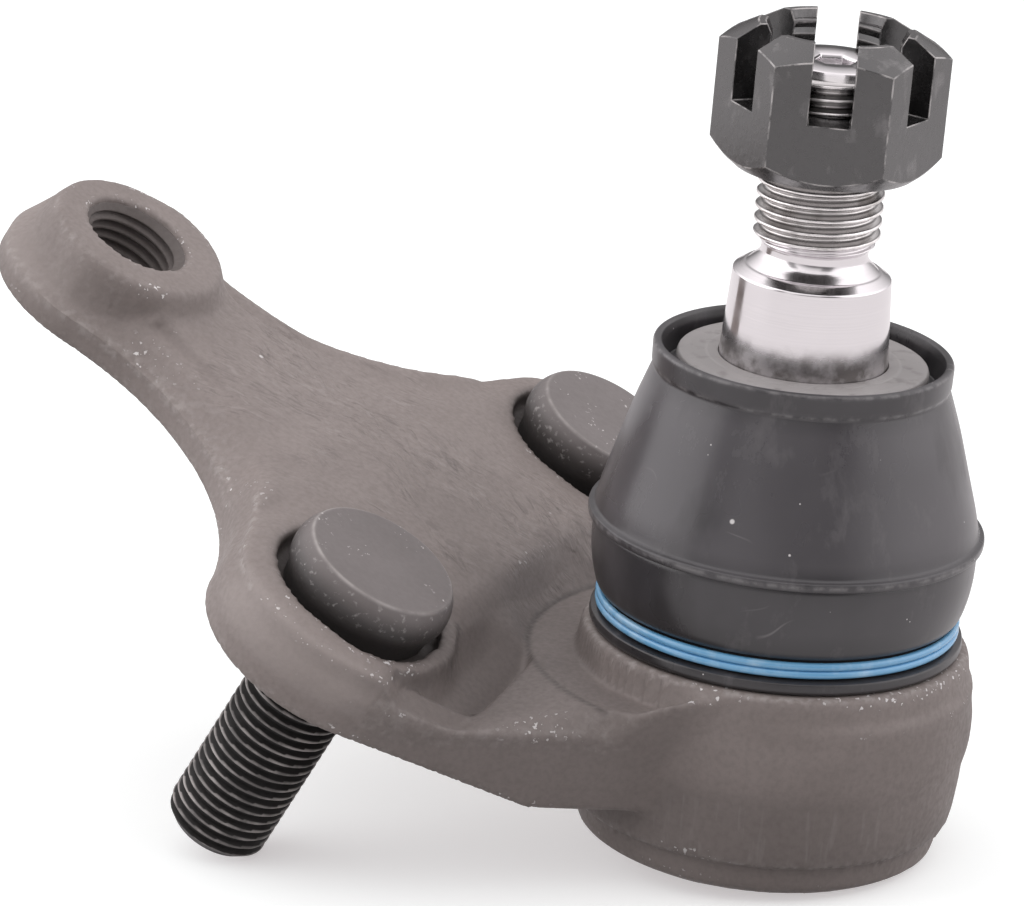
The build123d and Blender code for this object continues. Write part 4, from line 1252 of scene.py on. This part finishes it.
# %% Dust boot
boot_columns = 192
lower = rounded(
    [
        (17.4, 4.35), (20.6, 4.3), (20.95, 4.75), (20.85, 5.65), (19.5, 5.95), (19.4, 8.1), (20.05, 8.2),
        (20.6, 9.0), (21.1, 10.9), (21.4, 13.0), (21.45, 16.2), (21.3, 16.6), (22.05, 16.75),
        (22.1, 17.25), (19.6, 17.25), (19.5, 11.3), (18.4, 10.2), (18.4, 8.75), (17.4, 8.6),
    ],
    [0.2, 0.3, 0.3, 0.2, 0.15, 0.15, 0.3, 0.6, 0.9, 1.2, 0.3, 0.12, 0.15, 0.01, 0.01, 0.5, 0.3, 0.1,
     0.1],
    closed=True,
)
upper = rounded(
    [
        (22.1, 17.25), (22.05, 17.65), (21.4, 17.85), (20.85, 20.3), (19.8, 23.8), (18.1, 29.6),
        (16.75, 33.4), (16.4, 34.3), (16.6, 34.7), (16.65, 37.0), (16.2, 37.3), (15.75, 37.15),
        (15.5, 36.2), (15.4, 33.7), (14.2, 33.7), (14.1, 34.9), (12.25, 34.95), (12.2, 33.1),
        (9.5, 32.9), (9.5, 30.4), (14.4, 30.4), (17.1, 26.5), (19.4, 19.0), (19.6, 17.25),
    ],
    [0.01, 0.15, 0.35, 1, 1.5, 1.5, 0.8, 0.2, 0.2, 0.3, 0.25, 0.2, 0.3, 0.2, 0.2, 0.1, 0.1, 0.1, 0.1,
     0.1, 0.3, 1, 1, 0.01],
    closed=True,
)


def lips(xyz):
    """1 on the boot's thin outer edges: the flange, the rim and the band under the rim."""
    radius = np.hypot(xyz[:, 0], xyz[:, 1])
    corners = np.array([(22.1, 17.3), (16.65, 37.05), (16.55, 34.6), (20.5, 5.4)])
    away = np.hypot(radius[:, None] - corners[:, 0], xyz[:, 2:] - corners[:, 1])
    return bell(away.min(1), 0, 0.22)


def boot_ring(name, line):
    """One ring of rubber, turned from a closed line."""
    fine_line = finer(np.vstack([line, line[:1]]), 0.6)[:-1]
    xyz, faces = turned(*ringed(fine_line, boot_columns), close_rows=True)
    return piece(name, xyz, faces, None, "boot_rubber", rubber, ["dust_boot"], lip=lips(xyz))


boot_lower = boot_ring("boot_lower", lower)
boot_upper = boot_ring("boot_upper", upper)
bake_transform(boot_lower)
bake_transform(boot_upper)

# %% [markdown]
# ## The wire ring
# A length of blue coated wire, coiled twice, is sprung into the groove at the boot's foot. Like a
# key ring it lies flat for most of a turn, steps up by its own thickness and lies flat again, so
# no part of it has to share its place with another.


# %% Wire ring
def wire(path, thickness, sides=14):
    """A tube round a path: each point is the path's, plus a circle across it, spanned by the
    outward direction and the direction square to that and to the path."""
    heading = np.gradient(path, axis=0)
    heading /= np.linalg.norm(heading, axis=1, keepdims=True)
    outward = path * [1, 1, 0]
    outward /= np.linalg.norm(outward, axis=1, keepdims=True)
    square = np.cross(heading, outward)
    turn = np.linspace(0, 2 * np.pi, sides, endpoint=False)[None, :, None]
    ring = np.cos(turn) * outward[:, None] + np.sin(turn) * square[:, None]
    xyz = (path[:, None] + thickness / 2 * ring).reshape(-1, 3)
    faces = grid_faces(len(path), sides)[:, ::-1].tolist()
    c = np.arange(sides)
    on = (c + 1) % sides
    last = (len(path) - 1) * sides
    xyz = np.vstack([xyz, path[:1], path[-1:]])
    faces += np.stack([c, on, np.full(sides, len(xyz) - 2)], 1).tolist()
    faces += np.stack([last + on, last + c, np.full(sides, len(xyz) - 1)], 1).tolist()
    return xyz, faces


WIRE = 0.92
WIRE_RING_RADIUS = 19.95
turns = np.linspace(0.0, 1.9, 560)
angle = 2 * np.pi * turns + 1.9
height = 6.53 + WIRE * ease(turns, 0.91, 0.99)
path = np.stack([WIRE_RING_RADIUS * np.cos(angle), WIRE_RING_RADIUS * np.sin(angle), height], 1)
piece("wire_ring", *wire(path, WIRE), "housing", "blue_wire", blue, ["boot_clamp_ring"])

# %% [markdown]
# ## The seal washer
# Inside the boot's rim a grey washer lies on the rubber and closes round the stud.

# %% Seal washer
washer_line = rounded(
    [(9.43, 35.02), (13.9, 35.02), (14.0, 35.6), (13.8, 36.2), (12.6, 36.3), (10.9, 36.22),
     (10.6, 36.3), (9.43, 36.3)],
    [0.05, 0.1, 0.2, 0.2, 0.2, 0.15, 0.15, 0.1],
    closed=True,
)
xyz, faces = turned(*ringed(washer_line, 160), close_rows=True)
piece("seal_washer", xyz, faces, "boot_top", "washer_rubber", washer_grey, ["boot_seal_washer"])

# %% [markdown]
# ## Stage
# The part lies as it would on a table, on its two bolt ends and the edge of the housing, so the
# table is a plane through those three points. It is pale, it keeps the shadow, and the world
# behind it is white to the camera.

# %% Floor
BOLT_END = (-48.6, -24.9)
HOUSING_FOOT = (18.35, -20.0)
SLOPE = (HOUSING_FOOT[1] - BOLT_END[1]) / (HOUSING_FOOT[0] - BOLT_END[0])
HALF_FLOOR = 1800.0
corners = HALF_FLOOR * np.array([(-1, -1), (1, -1), (1, 1), (-1, 1)])
floor_xyz = np.column_stack([corners, HOUSING_FOOT[1] - 0.05 + (corners[:, 0] - HOUSING_FOOT[0]) * SLOPE])
floor_mesh = bpy.data.meshes.new("floor")
floor_mesh.from_pydata((floor_xyz * MM).tolist(), [], [(0, 1, 2, 3)])
floor = placed("floor", floor_mesh)


def floor_surface(tree):
    """A pale diffuse table that adds a little white of its own for the camera and for mirror
    reflections, and is greyer to the light that it throws back on the part."""
    out = tree.nodes["Material Output"]
    tree.nodes.remove(tree.nodes["Principled BSDF"])
    marks = noise(tree, 160, 4, stretch=(1, 0.25, 1), turn=(0, 0, 0.6))
    marks = spread(tree, marks, 0.62, 0.7, 0, 0.08)
    rays = node(tree, "ShaderNodeLightPath").outputs
    camera = rays["Is Camera Ray"]
    pale = mixed(tree, camera, (0.4, 0.4, 0.4), mixed(tree, marks, (0.62, 0.68, 0.665), (0.5, 0.55, 0.535)))
    diffuse = node(tree, "ShaderNodeBsdfDiffuse", {"Color": pale}).outputs[0]
    seen = maths(tree, "MAXIMUM", camera, rays["Is Glossy Ray"])
    inputs = {"Color": (1, 0.945, 0.955, 1), "Strength": product(tree, seen, 0.485)}
    glow = node(tree, "ShaderNodeEmission", inputs).outputs[0]
    both = node(tree, "ShaderNodeAddShader", {0: diffuse, 1: glow}).outputs[0]
    tree.links.new(both, out.inputs["Surface"])


table_white = bpy.data.materials.new("table_white")
table_white.use_nodes = True
floor_surface(table_white.node_tree)
floor_mesh.materials.append(table_white)
print("floor slope, degrees:", round(float(np.degrees(np.arctan(SLOPE))), 2))

# %% [markdown]
# The camera stands in front and above and looks down on the part through a long lens, which
# keeps its circles from being stretched. The directions to its right, upwards and backwards are
# the first three columns of its place matrix, and where it stands is the fourth.

# %% Camera
RIGHT = np.array([0.9031, 0.4212, 0.0832])
UPWARD = np.array([-0.2078, 0.2592, 0.9432])
FORWARD = np.array([-0.3758, 0.8692, -0.3216])
camera_data = bpy.data.cameras.new("camera")
camera_data.sensor_width, camera_data.lens = 36.0, 193.36
camera_data.clip_start, camera_data.clip_end = 0.01, 10.0
camera = placed("camera", camera_data)
place = np.eye(4)
place[:3, 0], place[:3, 1], place[:3, 2] = RIGHT, UPWARD, -FORWARD
place[:3, 3] = np.array([200.6, -542.1, 218.2]) * MM
camera.matrix_world = Matrix(place.tolist())
bpy.context.scene.camera = camera
print("camera at", camera.matrix_world.translation[:])

# %% [markdown]
# The light is a tent: bright above and at both sides, dim from the camera's own direction, with
# two dark gaps in its wall. That is why the nut's front is darker than its flanks, and why the
# bright stud and the satin rubber show upright bands. The world's strength is a plain sum of the
# direction's height and how far it points to the side, a little more on the left, less the gaps.

# %% World
world = bpy.data.worlds.new("tent")
bpy.context.scene.world = world
world.use_nodes = True
tree = world.node_tree
tree.nodes.clear()
direction = node(tree, "ShaderNodeTexCoord").outputs["Generated"]
sideways = along(tree, direction, (0.906, 0.423, 0.0))
facing = along(tree, direction, (0.397, -0.918, 0.0))
upright = along(tree, direction, (0, 0, 1))
azimuth = product(tree, maths(tree, "ARCTAN2", sideways, facing), 180 / np.pi)


def gap(centre, half_width):
    """1 in a slot of the tent's wall, given by its azimuth in degrees, and 0 beside it."""
    away = size_of(tree, maths(tree, "SUBTRACT", azimuth, centre))
    return spread(tree, away, half_width + 4, half_width - 4)


above = spread(tree, upright, 0.0, 1.0, 0.0, 1.2)
sides = product(tree, sideways, sideways, 1.3, spread(tree, sideways, -0.4, 0.4, 1.42, 1.12))
light = maths(tree, "ADD", maths(tree, "ADD", above, sides), 0.08)
gaps = maths(tree, "MAXIMUM", gap(-50, 9), gap(28, 13))
gaps = product(tree, gaps, spread(tree, upright, 0.85, 0.65))
light = product(tree, light, spread(tree, gaps, 0.0, 1.0, 1.0, 0.28))
seen = node(tree, "ShaderNodeLightPath").outputs["Is Camera Ray"]
strength = node(tree, "ShaderNodeMix", {0: seen, 2: light, 3: 1.0}).outputs[0]
tone = mixed(tree, seen, (1, 0.965, 0.98), (1, 1, 1))
backdrop = node(tree, "ShaderNodeBackground", {"Color": tone, "Strength": strength})
node(tree, "ShaderNodeOutputWorld", {"Surface": backdrop.outputs[0]})
bpy.context.scene.view_settings.view_transform = "Standard"
print("world:", len(tree.nodes), "nodes")
